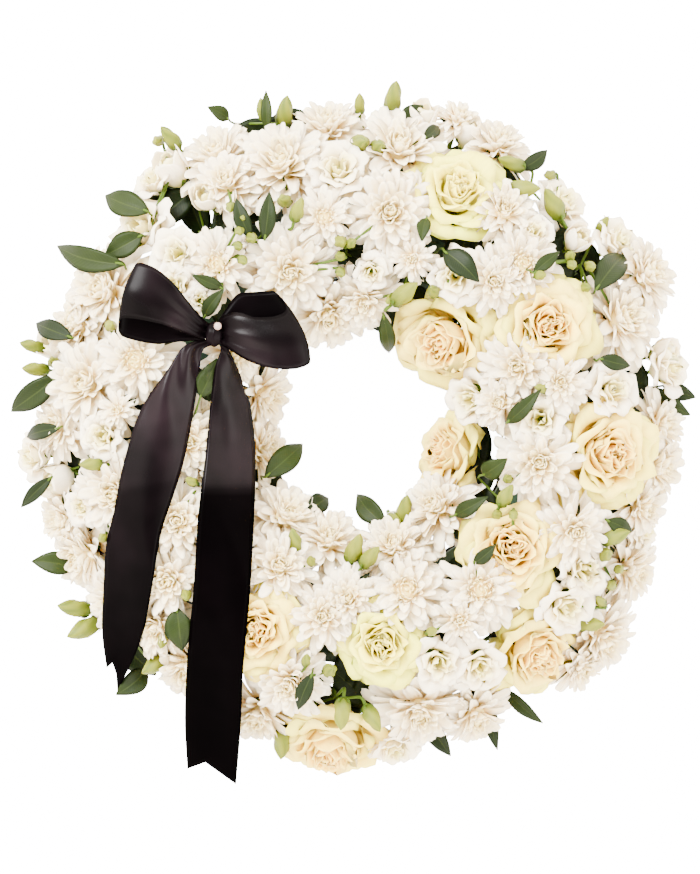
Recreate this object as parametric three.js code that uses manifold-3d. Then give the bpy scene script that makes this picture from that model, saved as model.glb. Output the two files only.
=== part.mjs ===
import * as THREE from 'three';
import { mergeVertices } from 'three/addons/utils/BufferGeometryUtils.js';
import Module from 'manifold-3d';

// A funeral wreath, lying on its tray with the blooms up. Millimetres, +Z up.
// Places are plan positions from the ring's axis, +Y towards the top of the wreath.
// Every bloom sits on a dome over the foam ring and leans with it.

// Driving dimensions
const foam = { outer: 200, inner: 132, bottom: 3.3, top: 45, bevel: 7, sides: 26 };
const tray = { gap: 0.3, wall: 1.8, floor: 3, height: 16, sides: 26 };
const dome = { ring: 170, halfWidth: 102, core: 22, height: 103, steepest: 0.965 };
const gap = 0.3; // clear space round a stem in its hole
const split = 0.2; // each bloom's share of the space to its neighbour
const ribbon = { width: 48, thick: 1.2, above: 5 };
const pin = { x: -114.8, y: 86.7, pearl: 3.3, pearlHeight: 144.4, shaft: 0.8, end: 27 };
// Where stems end in the foam: height under the dome's top and at its edge, and the distance
// from the section's middle, as a share of the bloom's own and at most
const stemEnd = { high: 27, low: 18, reach: 0.34, most: 27 };

const wasm = await Module();
wasm.setup();

// Seeded draw, the same each time
function draws(seed) {
  let state = seed;
  return () => {
    state = (state + 0x6d2b79f5) | 0;
    let t = Math.imul(state ^ (state >>> 15), 1 | state);
    t = (t + Math.imul(t ^ (t >>> 7), 61 | t)) ^ t;
    return ((t ^ (t >>> 14)) >>> 0) / 4294967296;
  };
}

// Solids

function solidOf(points, triangles) {
  const places = new Float32Array(points.flatMap((p) => [p.x, p.y, p.z]));
  let volume = 0;
  for (const [a, b, c] of triangles) {
    volume += points[a].dot(new THREE.Vector3().crossVectors(points[b], points[c]));
  }
  const turned = volume < 0 ? triangles.map(([a, b, c]) => [a, c, b]) : triangles;
  const mesh = new wasm.Mesh({
    numProp: 3,
    vertProperties: places,
    triVerts: new Uint32Array(turned.flat()),
  });
  return new wasm.Manifold(mesh);
}

function solidFrom(geometry) {
  const bare = geometry.clone();
  bare.deleteAttribute('normal');
  bare.deleteAttribute('uv');
  const merged = mergeVertices(bare, 1e-4);
  const at = merged.getAttribute('position');
  const points = [];
  for (let i = 0; i < at.count; i += 1) {
    points.push(new THREE.Vector3().fromBufferAttribute(at, i));
  }
  const index = Array.from(merged.index.array);
  const triangles = [];
  for (let i = 0; i < index.length; i += 3) {
    const [a, b, c] = index.slice(i, i + 3);
    if (a !== b && b !== c && c !== a) triangles.push([a, b, c]);
  }
  return solidOf(points, triangles);
}

function geometryOf(solid) {
  const mesh = solid.getMesh();
  const geometry = new THREE.BufferGeometry();
  geometry.setAttribute('position', new THREE.BufferAttribute(new Float32Array(mesh.vertProperties), 3));
  geometry.setIndex(Array.from(mesh.triVerts));
  geometry.computeVertexNormals();
  return geometry;
}

const joined = (solids) => wasm.Manifold.union(solids);

// The largest body of a cut solid: petal tips that a cut frees are dropped
function wholeOf(solid) {
  const bodies = solid.decompose();
  return bodies.reduce((a, b) => (b.volume() > a.volume() ? b : a));
}

// The dome

// Height of the flower mass over a plan position
function domeHeight(x, y) {
  const across = (Math.hypot(x, y) - dome.ring) / dome.halfWidth;
  return dome.core + dome.height * Math.sqrt(Math.max(0, 1 - across * across));
}

// Where a bloom of this radius sits, and the way it faces
function seatAt(x, y, radius, lower = 0) {
  const sunk = 0.45 * radius + lower;
  const ring = Math.hypot(x, y);
  const outward = new THREE.Vector3(x / ring, y / ring, 0);
  const reach = (ring - dome.ring) / (dome.halfWidth - sunk);
  const sine = THREE.MathUtils.clamp(reach, -dome.steepest, dome.steepest);
  const cosine = Math.sqrt(1 - sine * sine);
  const centre = new THREE.Vector3(x, y, dome.core + (dome.height - sunk) * cosine);
  const axis = outward.clone().multiplyScalar(sine / (dome.halfWidth - sunk));
  axis.z = cosine / (dome.height - sunk);
  return { centre, axis: axis.normalize(), outward };
}

// Where the stem of a bloom at this place ends in the foam
function foamPoint(x, y) {
  const ring = Math.hypot(x, y);
  const middle = (foam.outer + foam.inner) / 2;
  const offset = (ring - dome.ring) * stemEnd.reach;
  const share = Math.min(1, Math.abs(ring - dome.ring) / dome.halfWidth);
  const z = THREE.MathUtils.lerp(stemEnd.high, stemEnd.low, share * share);
  const to = (middle + THREE.MathUtils.clamp(offset, -stemEnd.most, stemEnd.most)) / ring;
  return new THREE.Vector3(x * to, y * to, z);
}

// Bloom shapes, in units of the bloom's radius round its own centre, +Z the way it faces

// Rings of points, each [radius, height, ripple, lift, turn], closed by a point at each end
function ringed(profile, sides) {
  const points = [];
  const triangles = [];
  const [foot, ...rest] = profile;
  const crown = rest.pop();
  points.push(new THREE.Vector3(0, 0, foot[1]));
  for (const [r, z, ripple = 0, lift = 0, turn = 0] of rest) {
    for (let i = 0; i < sides; i += 1) {
      const sign = i % 2 ? -1 : 1;
      const angle = (2 * Math.PI * (i + turn)) / sides;
      const out = r * (1 + sign * ripple);
      points.push(new THREE.Vector3(out * Math.cos(angle), out * Math.sin(angle), z + sign * lift));
    }
  }
  points.push(new THREE.Vector3(0, 0, crown[1]));
  const last = points.length - 1;
  const at = (ring, i) => 1 + ring * sides + (i % sides);
  for (let i = 0; i < sides; i += 1) {
    triangles.push([0, at(0, i + 1), at(0, i)]);
    for (let ring = 0; ring < rest.length - 1; ring += 1) {
      triangles.push([at(ring, i), at(ring, i + 1), at(ring + 1, i + 1)]);
      triangles.push([at(ring, i), at(ring + 1, i + 1), at(ring + 1, i)]);
    }
    triangles.push([last, at(rest.length - 1, i), at(rest.length - 1, i + 1)]);
  }
  return { points, triangles };
}

// A rose: five petals a tier, each tier's rolled lip over the groove inside it
const roseShape = ringed([
  [0, -0.72],
  [0.7, -0.36, 0.04],
  [1.0, 0.06, 0.07, 0.03],
  [0.87, 0.24, 0.05, 0.03],
  [0.67, 0.12],
  [0.69, 0.38, -0.06, -0.03],
  [0.49, 0.24],
  [0.47, 0.5, 0.07, 0.03],
  [0.29, 0.36],
  [0.24, 0.58, -0.1, -0.02],
  [0, 0.46],
], 10);

// A double lisianthus: four broad ruffled petals round a folded heart
const lisianthusProfile = [
  [0, -0.75],
  [0.36, -0.55],
  [1.0, 0.12, 0.09, 0.06],
  [0.62, 0.06],
  [0.6, 0.4, -0.1, -0.05],
  [0, 0.3],
];
const lisianthusShape = ringed(lisianthusProfile, 8);
const smallLisianthusShape = ringed(lisianthusProfile, 6);

// A half-open lisianthus: a cup of overlapping petals
const cupShape = ringed([
  [0, -0.95],
  [0.42, -0.6],
  [0.66, 0.05],
  [0.56, 0.75, 0.06, 0.08],
  [0.3, 0.4],
  [0, 0.25],
], 6);

// A chrysanthemum head: rows of pointed petals, each a scale that stands out of a smaller core
function mumShape(petals, rows) {
  const core = 0.66;
  const envelope = (polar) => {
    const high = Math.cos(polar) > 0 ? 0.62 : 0.7;
    return 1 / Math.hypot(Math.sin(polar), Math.cos(polar) / high);
  };
  const point = (polar, turn, share) => {
    const reach = share * envelope(polar);
    return new THREE.Vector3(
      reach * Math.sin(polar) * Math.cos(turn),
      reach * Math.sin(polar) * Math.sin(turn),
      reach * Math.cos(polar),
    );
  };
  const first = THREE.MathUtils.degToRad(26);
  const last = THREE.MathUtils.degToRad(122);
  const polarOf = (ring) => first + ((last - first) * ring) / (rows + 1);
  const turnOf = (ring, i) => (2 * Math.PI * (i + ring / 2)) / petals;
  const points = [new THREE.Vector3(0, 0, 0.5 * envelope(0))];
  for (let ring = 0; ring <= rows + 1; ring += 1) {
    for (let i = 0; i < petals; i += 1) {
      points.push(point(polarOf(ring), turnOf(ring, i), ring === 0 ? 0.8 : core));
    }
  }
  const foot = points.length;
  points.push(new THREE.Vector3(0, 0, -0.62));
  const at = (ring, i) => 1 + ring * petals + ((i % petals) + petals) % petals;
  const triangles = [];
  for (let i = 0; i < petals; i += 1) {
    triangles.push([0, at(0, i), at(0, i + 1)]);
    triangles.push([at(0, i), at(1, i), at(0, i + 1)]);
    triangles.push([foot, at(rows + 1, i + 1), at(rows + 1, i)]);
    triangles.push([at(rows, i), at(rows + 1, i - 1), at(rows + 1, i)]);
    for (let row = 1; row <= rows; row += 1) {
      const tip = points.length;
      points.push(point(polarOf(row + 0.45), turnOf(row - 1, i), 1));
      const corners = [at(row - 1, i), at(row, i - 1), at(row + 1, i - 1), at(row, i)];
      corners.forEach((corner, k) => triangles.push([corner, corners[(k + 1) % 4], tip]));
    }
  }
  return { points, triangles };
}

const fullMum = mumShape(7, 2);
const mum = mumShape(6, 2);
const smallMum = mumShape(5, 2);

// Shape put at its seat: turned to face its way, and drawn in towards its centre
// by one factor for each direction, so that it stays inside its own room
function bloomSolid(shape, bloom) {
  const { centre, axis, radius, spin, planes } = bloom;
  const side = new THREE.Vector3(0, 1, 0).cross(axis).normalize();
  const turned = new THREE.Matrix4().makeBasis(side, axis.clone().cross(side), axis);
  turned.multiply(new THREE.Matrix4().makeRotationZ(spin));
  const points = shape.points.map((p) => {
    const out = p.clone().multiplyScalar(radius).applyMatrix4(turned);
    const reach = out.length();
    const way = out.clone().divideScalar(reach);
    let most = Infinity;
    for (const { normal, offset } of planes) {
      const towards = normal.dot(way);
      if (towards > 1e-6) most = Math.min(most, offset / towards);
    }
    const full = radius * Math.max(1, reach / radius);
    return centre.clone().addScaledVector(way, reach * Math.min(1, most / full));
  });
  return solidOf(points, shape.triangles);
}

// Planes that bound a bloom's room, each at its distance from the bloom's centre
function roomOf(bloom, others) {
  const planes = [];
  for (const other of others) {
    if (other.node === bloom.node) continue;
    const between = other.centre.clone().sub(bloom.centre);
    const apart = between.length();
    if (apart > bloom.radius + other.radius + 1) continue;
    const share = bloom.radius / (bloom.radius + other.radius);
    planes.push({ normal: between.divideScalar(apart), offset: apart * share - split });
  }
  const { centre, outward } = bloom;
  const ring = Math.hypot(centre.x, centre.y);
  const down = { normal: new THREE.Vector3(0, 0, -1), offset: centre.z - foam.top - 0.6 };
  const inwards = { normal: outward.clone().negate(), offset: ring - foam.outer - 6 };
  const outwards = { normal: outward.clone(), offset: foam.inner - 14 - ring };
  planes.push([down, inwards, outwards].reduce((a, b) => (b.offset > a.offset ? b : a)));
  planes.push({ normal: new THREE.Vector3(0, 0, -1), offset: centre.z - 1 });
  return planes;
}

// A body swept along a bent path with its own radius at each place; a last radius of 0 is a point
function sweptSolid(path, radii, sides) {
  const points = [];
  const triangles = [];
  const pointed = radii[radii.length - 1] === 0;
  const rings = pointed ? path.length - 1 : path.length;
  let side = new THREE.Vector3(0.3, 0.9, 0.3);
  for (let k = 0; k < rings; k += 1) {
    const before = path[Math.max(0, k - 1)];
    const after = path[Math.min(path.length - 1, k + 1)];
    const along = after.clone().sub(before).normalize();
    side = side.clone().addScaledVector(along, -side.dot(along)).normalize();
    const other = along.clone().cross(side);
    for (let i = 0; i < sides; i += 1) {
      const turn = (2 * Math.PI * i) / sides;
      const place = path[k].clone().addScaledVector(side, radii[k] * Math.cos(turn));
      points.push(place.addScaledVector(other, radii[k] * Math.sin(turn)));
    }
  }
  const at = (k, i) => k * sides + (i % sides);
  for (let i = 0; i < sides; i += 1) {
    for (let k = 0; k < rings - 1; k += 1) {
      triangles.push([at(k, i), at(k, i + 1), at(k + 1, i + 1)], [at(k, i), at(k + 1, i + 1), at(k + 1, i)]);
    }
    if (pointed) triangles.push([at(rings - 1, i), at(rings - 1, i + 1), points.length]);
    if (i > 1) triangles.push([at(0, 0), at(0, i), at(0, i - 1)]);
    if (i > 1 && !pointed) triangles.push([at(rings - 1, 0), at(rings - 1, i - 1), at(rings - 1, i)]);
  }
  if (pointed) points.push(path[path.length - 1].clone());
  return solidOf(points, triangles);
}

// A straight stalk, cut to a point at its far end, and the same with clear space round it
function stalk({ from, to, radius, knuckle }, grown = 0) {
  if (knuckle) {
    const ball = new THREE.OctahedronGeometry(radius + 2 * grown).translate(...from);
    return solidFrom(ball);
  }
  const along = to.clone().sub(from).normalize();
  const end = to.clone().addScaledVector(along, 4 * grown);
  const sides = radius > 2 ? 4 : 3;
  return sweptSolid([from, end], [radius + 1.6 * grown, 0], sides);
}

// A straight round pin between two places
function rod(from, to, radius, grown = 0) {
  const length = from.distanceTo(to) + 2 * grown;
  const geometry = new THREE.CylinderGeometry(radius + grown, radius + grown, length, 6);
  geometry.rotateX(Math.PI / 2);
  const middle = from.clone().add(to).multiplyScalar(0.5);
  return solidFrom(geometry.translate(...middle));
}

// What grows where: x, y and diameter of each bloom, a row of blooms for each stem or spray

const roses = [
  [85, 200, 80], [77, 77, 85], [162, 88, 80], [213, -20, 88], [82, -19, 72],
  [132, -99, 80], [153, -187, 80], [23, -180, 68], [-83, -168, 72], [-20, -265, 85],
];

const mumSprays = [
  [[-115, 230, 70], [-108, 208, 55], [-61, 223, 76]],
  [[-23, 255, 65], [37, 236, 76], [88, 265, 38]],
  [[30, 183, 68], [48, 144, 34], [-26, 179, 44], [8, 110, 50], [-23, 100, 62]],
  [[-55, 134, 68], [-116, 139, 54]],
  [[-210, 117, 72], [-234, 89, 55], [-184, 58, 60], [-225, 38, 72], [-249, 4, 55]],
  [[-200, 17, 30], [-201, -53, 66], [-246, -76, 55], [-229, -105, 66], [-200, -145, 60]],
  [[-142, -9, 62], [-149, -77, 62], [-110, -43, 50], [-79, -17, 52], [-79, 30, 58], [-102, 64, 46]],
  [[-157, -126, 58], [-167, -166, 55], [-140, -200, 62], [-110, -110, 56]],
  [[-27, -157, 52], [-64, -116, 60], [-60, -75, 62], [-23, -95, 58], [-6, -143, 50]],
  [[44, -136, 62], [34, -100, 60], [71, -66, 62], [88, -160, 40], [106, -134, 60]],
  [[55, -236, 68], [102, -242, 58], [-82, -240, 62], [-55, -213, 56]],
  [[208, -177, 66], [191, -202, 45], [234, -119, 58], [184, -85, 55]],
  [[255, -32, 62], [242, -66, 50], [259, 4, 52]],
  [[224, 93, 70], [247, 132, 60]],
  [[126, 184, 52], [140, 139, 58], [117, 125, 48], [122, 242, 55]],
  [[138, 53, 56], [173, 40, 44], [123, 23, 45], [156, -28, 62]],
];

// Lisianthus stems; a fourth value of 1 is a half-open cup
const lisianthusStems = [
  [[-183, 172, 50], [-157, 223, 40, 1], [-172, 213, 34], [-126, 197, 32, 1]],
  [[-149, 148, 42], [-152, 121, 36], [-130, 109, 24]],
  [[56, 267, 36, 1], [96, 256, 32, 1]],
  [[-14, 221, 48], [14, 133, 30], [84, 129, 42]],
  [[151, 167, 32], [176, 194, 48], [225, 161, 44], [189, 162, 30, 1]],
  [[218, 34, 42], [269, 53, 42], [264, 66, 30, 1]],
  [[156, 9, 42], [98, 26, 42]],
  [[246, -85, 34], [194, -119, 46], [179, -150, 46]],
  [[71, -196, 42], [105, -200, 42], [34, -272, 38]],
  [[-213, -5, 38], [-253, -43, 40, 1], [-275, -23, 36], [-230, -65, 32], [-256, 73, 36, 1]],
];

// Sprays of buds and leaves. A bud is x, y, length and, where it lies over, the way it points
// in degrees. A leaf is the plan place of its foot and tip, and its width.
const sprays = [
  { fork: [-150, 236], buds: [[-169, 247, 20], [-158, 250, 27, 130]],
    leaves: [[-175, 185, -213, 200, 24], [-180, 165, -212, 148, 22], [-195, 140, -254, 157, 22]] },
  { fork: [-68, 262], buds: [[-79, 274, 22, 100], [-60, 272, 31, 80]],
    leaves: [[-75, 255, -76, 290, 10], [-108, 266, -126, 276, 13]] },
  { fork: [12, 250], buds: [[4, 279, 20, 90], [33, 285, 31, 80], [5, 243, 32], [20, 240, 26]],
    leaves: [[38, 262, 58, 277, 16]] },
  { fork: [-72, 172], buds: [[-60, 193, 24], [-48, 185, 24, 70], [-87, 161, 20], [-12, 158, 22]],
    leaves: [[-76, 160, -72, 200, 15], [-88, 162, -100, 195, 14]] },
  { fork: [40, 118], buds: [[42, 115, 31, 40], [66, 117, 22]],
    leaves: [[24, 98, 29, 66, 14], [60, 178, 56, 158, 12], [75, 150, 104, 124, 22]] },
  { fork: [150, 205], buds: [[133, 227, 27, 160], [142, 204, 33, 0], [168, 192, 33, 120]],
    leaves: [[141, 222, 164, 239, 14]] },
  { fork: [192, 140], buds: [[212, 176, 18, 55], [199, 138, 19], [195, 120, 16]],
    leaves: [[203, 118, 230, 149, 24], [206, 60, 232, 54, 14]] },
  { fork: [-250, 52], buds: [[-276, 72, 24, 165], [-273, 52, 26, 175], [-257, 58, 20]],
    leaves: [[-240, 78, -272, 91, 18], [-252, 46, -294, 16, 22]] },
  { fork: [-222, -28], buds: [[-222, -29, 23, 180]],
    leaves: [[-250, 2, -280, -6, 14], [-258, -40, -285, -66, 12], [-240, -118, -276, -112, 20]] },
  { fork: [-190, -180], buds: [[-240, -152, 32, 170], [-232, -170, 34, 205], [-170, -199, 30, 215],
    [-142, -139, 20]],
    leaves: [[-178, -205, -204, -226, 20], [-150, -150, -146, -186, 24]] },
  { fork: [-12, -116], buds: [[-51, -93, 24, 100], [0, -100, 30, 70], [13, -107, 26, 50], [42, -68, 30, 80]],
    leaves: [[-40, -70, -23, -58, 18], [-76, -40, -45, -12, 22], [26, -80, 2, -55, 20]] },
  { fork: [126, -62], buds: [[127, -55, 24, 60], [119, -71, 18]],
    leaves: [[108, -38, 128, -24, 18], [84, -72, 112, -56, 14], [128, 6, 156, 34, 14]] },
  { fork: [222, -134], buds: [[220, -90, 28, 20], [212, -105, 24], [217, -132, 18], [200, -165, 27, 0]],
    leaves: [[212, -76, 234, -86, 14]] },
  { fork: [-18, -228], buds: [[-21, -202, 24], [-11, -240, 30, 265], [15, -244, 28, 300],
    [-62, -266, 34, 265]], leaves: [[-36, -205, -48, -236, 14]] },
];

// Leafy stems tucked round the foot of the wreath: first and last degree, and how many leaves
const collars = [
  { from: 24, to: 84, leaves: 4 },
  { from: 102, to: 168, leaves: 4 },
  { from: 192, to: 252, leaves: 4 },
  { from: 284, to: 371, leaves: 5 },
];

const group = new THREE.Group();
const named = (list, stem) => list.map((row, i) => `${stem}_${String(i + 1).padStart(2, '0')}`);

const finishes = {
  tray: { color: 0x151515, roughness: 0.45, metalness: 0 },
  foam: { color: 0x3f5f3c, roughness: 0.95, metalness: 0 },
  satin: { color: 0x0a0a0b, roughness: 0.35, metalness: 0 },
  pearl: { color: 0xf4efe6, roughness: 0.2, metalness: 0 },
  rose: { color: 0xf5eed6, roughness: 0.7, metalness: 0 },
  mum: { color: 0xf7f2ea, roughness: 0.75, metalness: 0 },
  lisianthus: { color: 0xf9f6ee, roughness: 0.7, metalness: 0 },
  green: { color: 0x4f7d42, roughness: 0.6, metalness: 0 },
};

function addPart(name, solid, finish) {
  const mesh = new THREE.Mesh(geometryOf(solid), new THREE.MeshStandardMaterial(finishes[finish]));
  mesh.name = name;
  group.add(mesh);
}

// Blooms, each with its seat and the node it belongs to
const random = draws(9);
const blooms = [];
const bloomNodes = [];
function addBlooms(lists, stem, kind, stalkRadius) {
  named(lists, stem).forEach((node, i) => {
    bloomNodes.push({ node, kind, stalkRadius });
    for (const [x, y, across, open = 0] of lists[i]) {
      const radius = across / 2;
      const seat = seatAt(x, y, radius, open ? radius * 0.2 : 0);
      blooms.push({ node, kind, radius, open, spin: 2 * Math.PI * random(), ...seat });
    }
  });
}
addBlooms(roses.map((rose) => [rose]), 'rose', 'rose', 2.8);
addBlooms(mumSprays, 'mum_spray', 'mum', 2.2);
addBlooms(lisianthusStems, 'lisianthus', 'lisianthus', 1.8);
for (const bloom of blooms) bloom.planes = roomOf(bloom, blooms);

function shapeOf(bloom) {
  if (bloom.kind === 'rose') return roseShape;
  if (bloom.kind === 'lisianthus' && bloom.open) return cupShape;
  if (bloom.kind === 'lisianthus') return bloom.radius > 17.5 ? lisianthusShape : smallLisianthusShape;
  if (bloom.radius > 34) return fullMum;
  return bloom.radius > 30 ? mum : smallMum;
}

// Stalks: every one keeps clear of those of the other nodes

const stalks = [];
const pearlPlace = new THREE.Vector3(pin.x, pin.y, pin.pearlHeight);
const pinEnd = new THREE.Vector3(pin.x, pin.y, pin.end);
stalks.push({ node: 'pearl_pin', from: pearlPlace, to: pinEnd, radius: pin.shaft });

// Shortest distance between two straight stalks, by halving steps towards it
function stalksApart(a, b) {
  const along = a.to.clone().sub(a.from);
  const other = b.to.clone().sub(b.from);
  const between = a.from.clone().sub(b.from);
  const aa = along.dot(along);
  const bb = other.dot(other);
  const ab = along.dot(other);
  const ac = along.dot(between);
  const bc = other.dot(between);
  const scale = aa * bb - ab * ab;
  let s = scale > 1e-9 ? THREE.MathUtils.clamp((ab * bc - ac * bb) / scale, 0, 1) : 0;
  const t = bb > 0 ? THREE.MathUtils.clamp((ab * s + bc) / bb, 0, 1) : 0;
  s = aa > 0 ? THREE.MathUtils.clamp((ab * t - ac) / aa, 0, 1) : 0;
  const onA = a.from.clone().addScaledVector(along, s);
  const onB = b.from.clone().addScaledVector(other, t);
  return onA.distanceTo(onB);
}

function clearance(tried) {
  let least = 50;
  for (const a of tried) {
    for (const b of stalks) {
      if (b.node === a.node) continue;
      least = Math.min(least, stalksApart(a, b) - a.radius - b.radius);
    }
  }
  return least;
}

// The places are tried in turn from the best one outwards, until the stalks from there are clear
function clearStalks(hub, build, need = 1.2) {
  let best = null;
  for (let i = 0; i < 160; i += 1) {
    const out = 2.2 * Math.sqrt(i);
    const turn = i * 2.4;
    const spot = hub.clone().add(new THREE.Vector3(out * Math.cos(turn), out * Math.sin(turn), 0));
    const tried = build(spot);
    const least = clearance(tried);
    if (!best || least > best.least) best = { least, tried, spot };
    if (least > need) break;
  }
  stalks.push(...best.tried);
  return best;
}

// Leaves and buds

// Where along a blade it is measured, and its half-width there over its width
const longLeaf = { over: 36, stations: [[0.2, 0.33], [0.5, 0.5], [0.8, 0.29]] };
const shortLeaf = { stations: [[0.3, 0.45], [0.68, 0.4]] };
const stationsOf = (length) => (length > longLeaf.over ? longLeaf : shortLeaf).stations;

function bladeWays({ foot, tip, roll }) {
  const along = tip.clone().sub(foot);
  const length = along.length();
  along.divideScalar(length);
  const flat = new THREE.Vector3(0, 0, 1).cross(along).normalize();
  const up = along.clone().cross(flat);
  flat.applyAxisAngle(along, roll);
  up.applyAxisAngle(along, roll);
  return { along, length, flat, up };
}

// Where the leaf's own stalk ends, inside the blade by its foot
function stalkEnd(leaf) {
  const { along, length, up } = bladeWays(leaf);
  const [[first]] = stationsOf(length);
  const midrib = leaf.foot.clone().addScaledVector(along, first * length);
  midrib.addScaledVector(up, leaf.arch * length * Math.sin(Math.PI * first));
  return leaf.foot.clone().lerp(midrib, 0.75);
}

// An arched blade with raised edges: stations along it, each left edge, right edge and midrib
function leafSolid(leaf, grown = 0) {
  const { foot, tip, width, arch } = leaf;
  const { along, length, flat, up } = bladeWays(leaf);
  const thick = 1.6 + 2 * grown;
  const points = [foot.clone().addScaledVector(along, -grown)];
  const stations = stationsOf(length);
  for (const [t, share] of stations) {
    const half = width * share + 3 * grown;
    const middle = foot.clone().addScaledVector(along, t * length);
    middle.addScaledVector(up, arch * length * Math.sin(Math.PI * t));
    const edge = middle.clone().addScaledVector(up, 0.3 * half);
    points.push(edge.clone().addScaledVector(flat, half));
    points.push(middle.clone().addScaledVector(up, thick / 2));
    points.push(edge.clone().addScaledVector(flat, -half));
    points.push(middle.clone().addScaledVector(up, -thick / 2));
  }
  points.push(tip.clone().addScaledVector(along, grown));
  const end = points.length - 1;
  const triangles = [];
  for (let k = 0; k < 4; k += 1) {
    const next = (k + 1) % 4;
    triangles.push([0, 1 + next, 1 + k]);
    triangles.push([end, end - 4 + k, end - 4 + next]);
    for (let s = 1; s < stations.length; s += 1) {
      const low = 1 + 4 * (s - 1);
      // The two sides are split alike, top and underside, from the edge
      const fromEdge = k % 2 === 0;
      const a = low + k;
      const b = low + next;
      const c = low + 4 + next;
      const d = low + 4 + k;
      if (fromEdge) triangles.push([a, b, c], [a, c, d]);
      else triangles.push([a, b, d], [b, c, d]);
    }
  }
  return solidOf(points, triangles);
}

// A pointed bud on its own stalk, from the root it grows out of
function budSolid({ root, centre, axis, length, girth, upright }, grown = 0) {
  const stem = 1.2 + grown;
  const on = (share, more = 0) => centre.clone().addScaledVector(axis, share * length + more);
  const belly = girth / 2 + grown;
  if (upright) return sweptSolid([root, on(-0.1), on(0.5, grown)], [stem, belly, 0], 4);
  return sweptSolid([root, on(-0.5), on(-0.05), on(0.5, grown)], [stem, stem, belly, 0], 4);
}

// Collars: a leafy stem along the foam's outer side, its end turned into the foam
const collarStem = { ring: 212, z: 23, radius: 2, step: 12 };
const farLeaves = [
  [242, 33, 287, 13, 22, 3], [264, 38, 292, 28, 16, 3], [60, -250, 82, -279, 16, 3],
  [118, -236, 122, -274, 12, 3], [128, -222, 161, -251, 12, 3],
];

const around = (degree, ring, z) => {
  const turn = THREE.MathUtils.degToRad(degree);
  return new THREE.Vector3(ring * Math.cos(turn), ring * Math.sin(turn), z);
};

const collarNodes = named(collars, 'collar_leaves').map((node, i) => {
  const { from, to, leaves } = collars[i];
  const { ring, z, radius, step } = collarStem;
  const count = Math.round((to - from) / step);
  const path = [];
  for (let k = 0; k <= count; k += 1) path.push(around(from + ((to - from) * k) / count, ring, z));
  path.unshift(around(from - 4, 186, z + 1));
  const run = path.slice(1).map((end, k) => ({ node, from: path[k], to: end, radius, swept: true }));
  const grown = [];
  for (let k = 0; k < leaves; k += 1) {
    const at = from + 4 + ((to - from - 8) * (k + 0.5)) / leaves;
    const low = k % 2 === 0;
    const foot = around(at, ring - 1.2, z);
    const tip = around(at + (low ? 5 : -4), ring + (low ? 44 : 50), low ? 7 : 30);
    grown.push({ kind: 'leaf', foot, tip, width: 26, roll: 0.3 * (random() - 0.5), arch: 0.1 });
  }
  for (const [x, y, tipX, tipY, width, owner] of farLeaves) {
    if (owner !== i) continue;
    const foot = new THREE.Vector3(x, y, 34);
    const tip = new THREE.Vector3(tipX, tipY, 38);
    const leaf = { kind: 'leaf', foot, tip, width, roll: 0.2, arch: 0.1 };
    grown.push(leaf);
    const turn = THREE.MathUtils.radToDeg(Math.atan2(y, x));
    run.push({ node, from: stalkEnd(leaf), to: around(turn, ring - 5, z), radius: 1.4 });
  }
  stalks.push(...run);
  return { node, grown, stem: { path, radius } };
});

// The swollen joint where a stem forks
const jointRadius = 3.6;
const jointAt = (node, spot) => ({ node, from: spot, to: spot, radius: jointRadius, knuckle: true });

const grownTogether = (a, b) =>
  bloomSolid(shapeOf(a), a).intersect(bloomSolid(shapeOf(b), b)).volume() > 12;

// Heads that have grown into one another stand on one stalk, and a stem forks to each such clump
function clumpsOf(heads) {
  const clumps = [];
  for (const head of heads) {
    const met = clumps.filter((clump) => clump.some((other) => grownTogether(other, head)));
    const clump = [head, ...met.flat()];
    for (const one of met) clumps.splice(clumps.indexOf(one), 1);
    clumps.push(clump);
  }
  return clumps;
}

for (const { node, stalkRadius } of bloomNodes) {
  const heads = blooms.filter((bloom) => bloom.node === node);
  const middle = new THREE.Vector3();
  for (const head of heads) middle.addScaledVector(head.centre, 1 / heads.length);
  const feet = clumpsOf(heads).map((clump) => clump.reduce((a, b) =>
    (b.centre.distanceTo(middle) < a.centre.distanceTo(middle) ? b : a)).centre);
  if (feet.length === 1) {
    const [foot] = feet;
    clearStalks(foamPoint(foot.x, foot.y), (spot) => [{ node, from: foot, to: spot, radius: stalkRadius }]);
    continue;
  }
  const hub = middle.clone().lerp(foamPoint(middle.x, middle.y), 0.4);
  clearStalks(hub, (spot) => [
    { node, from: spot, to: foamPoint(spot.x, spot.y), radius: stalkRadius },
    jointAt(node, spot),
    ...feet.map((foot) => ({ node, from: foot, to: spot, radius: 1.5 })),
  ]);
}

// Height for what lies over or just past the dome's edge
const restHeight = (x, y) => Math.max(domeHeight(x, y), 44);
const onDome = (x, y, above) => new THREE.Vector3(x, y, restHeight(x, y) + above);

// Upright buds stand in the bloom beside them; the others and the leaves spring from their own fork
const bloomBuds = [];
function nearestBloom(place) {
  const away = (bloom) => bloom.centre.distanceTo(place) / bloom.radius + (bloom.kind === 'rose' ? 0.4 : 0);
  return blooms.reduce((a, b) => (away(b) < away(a) ? b : a));
}

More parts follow.
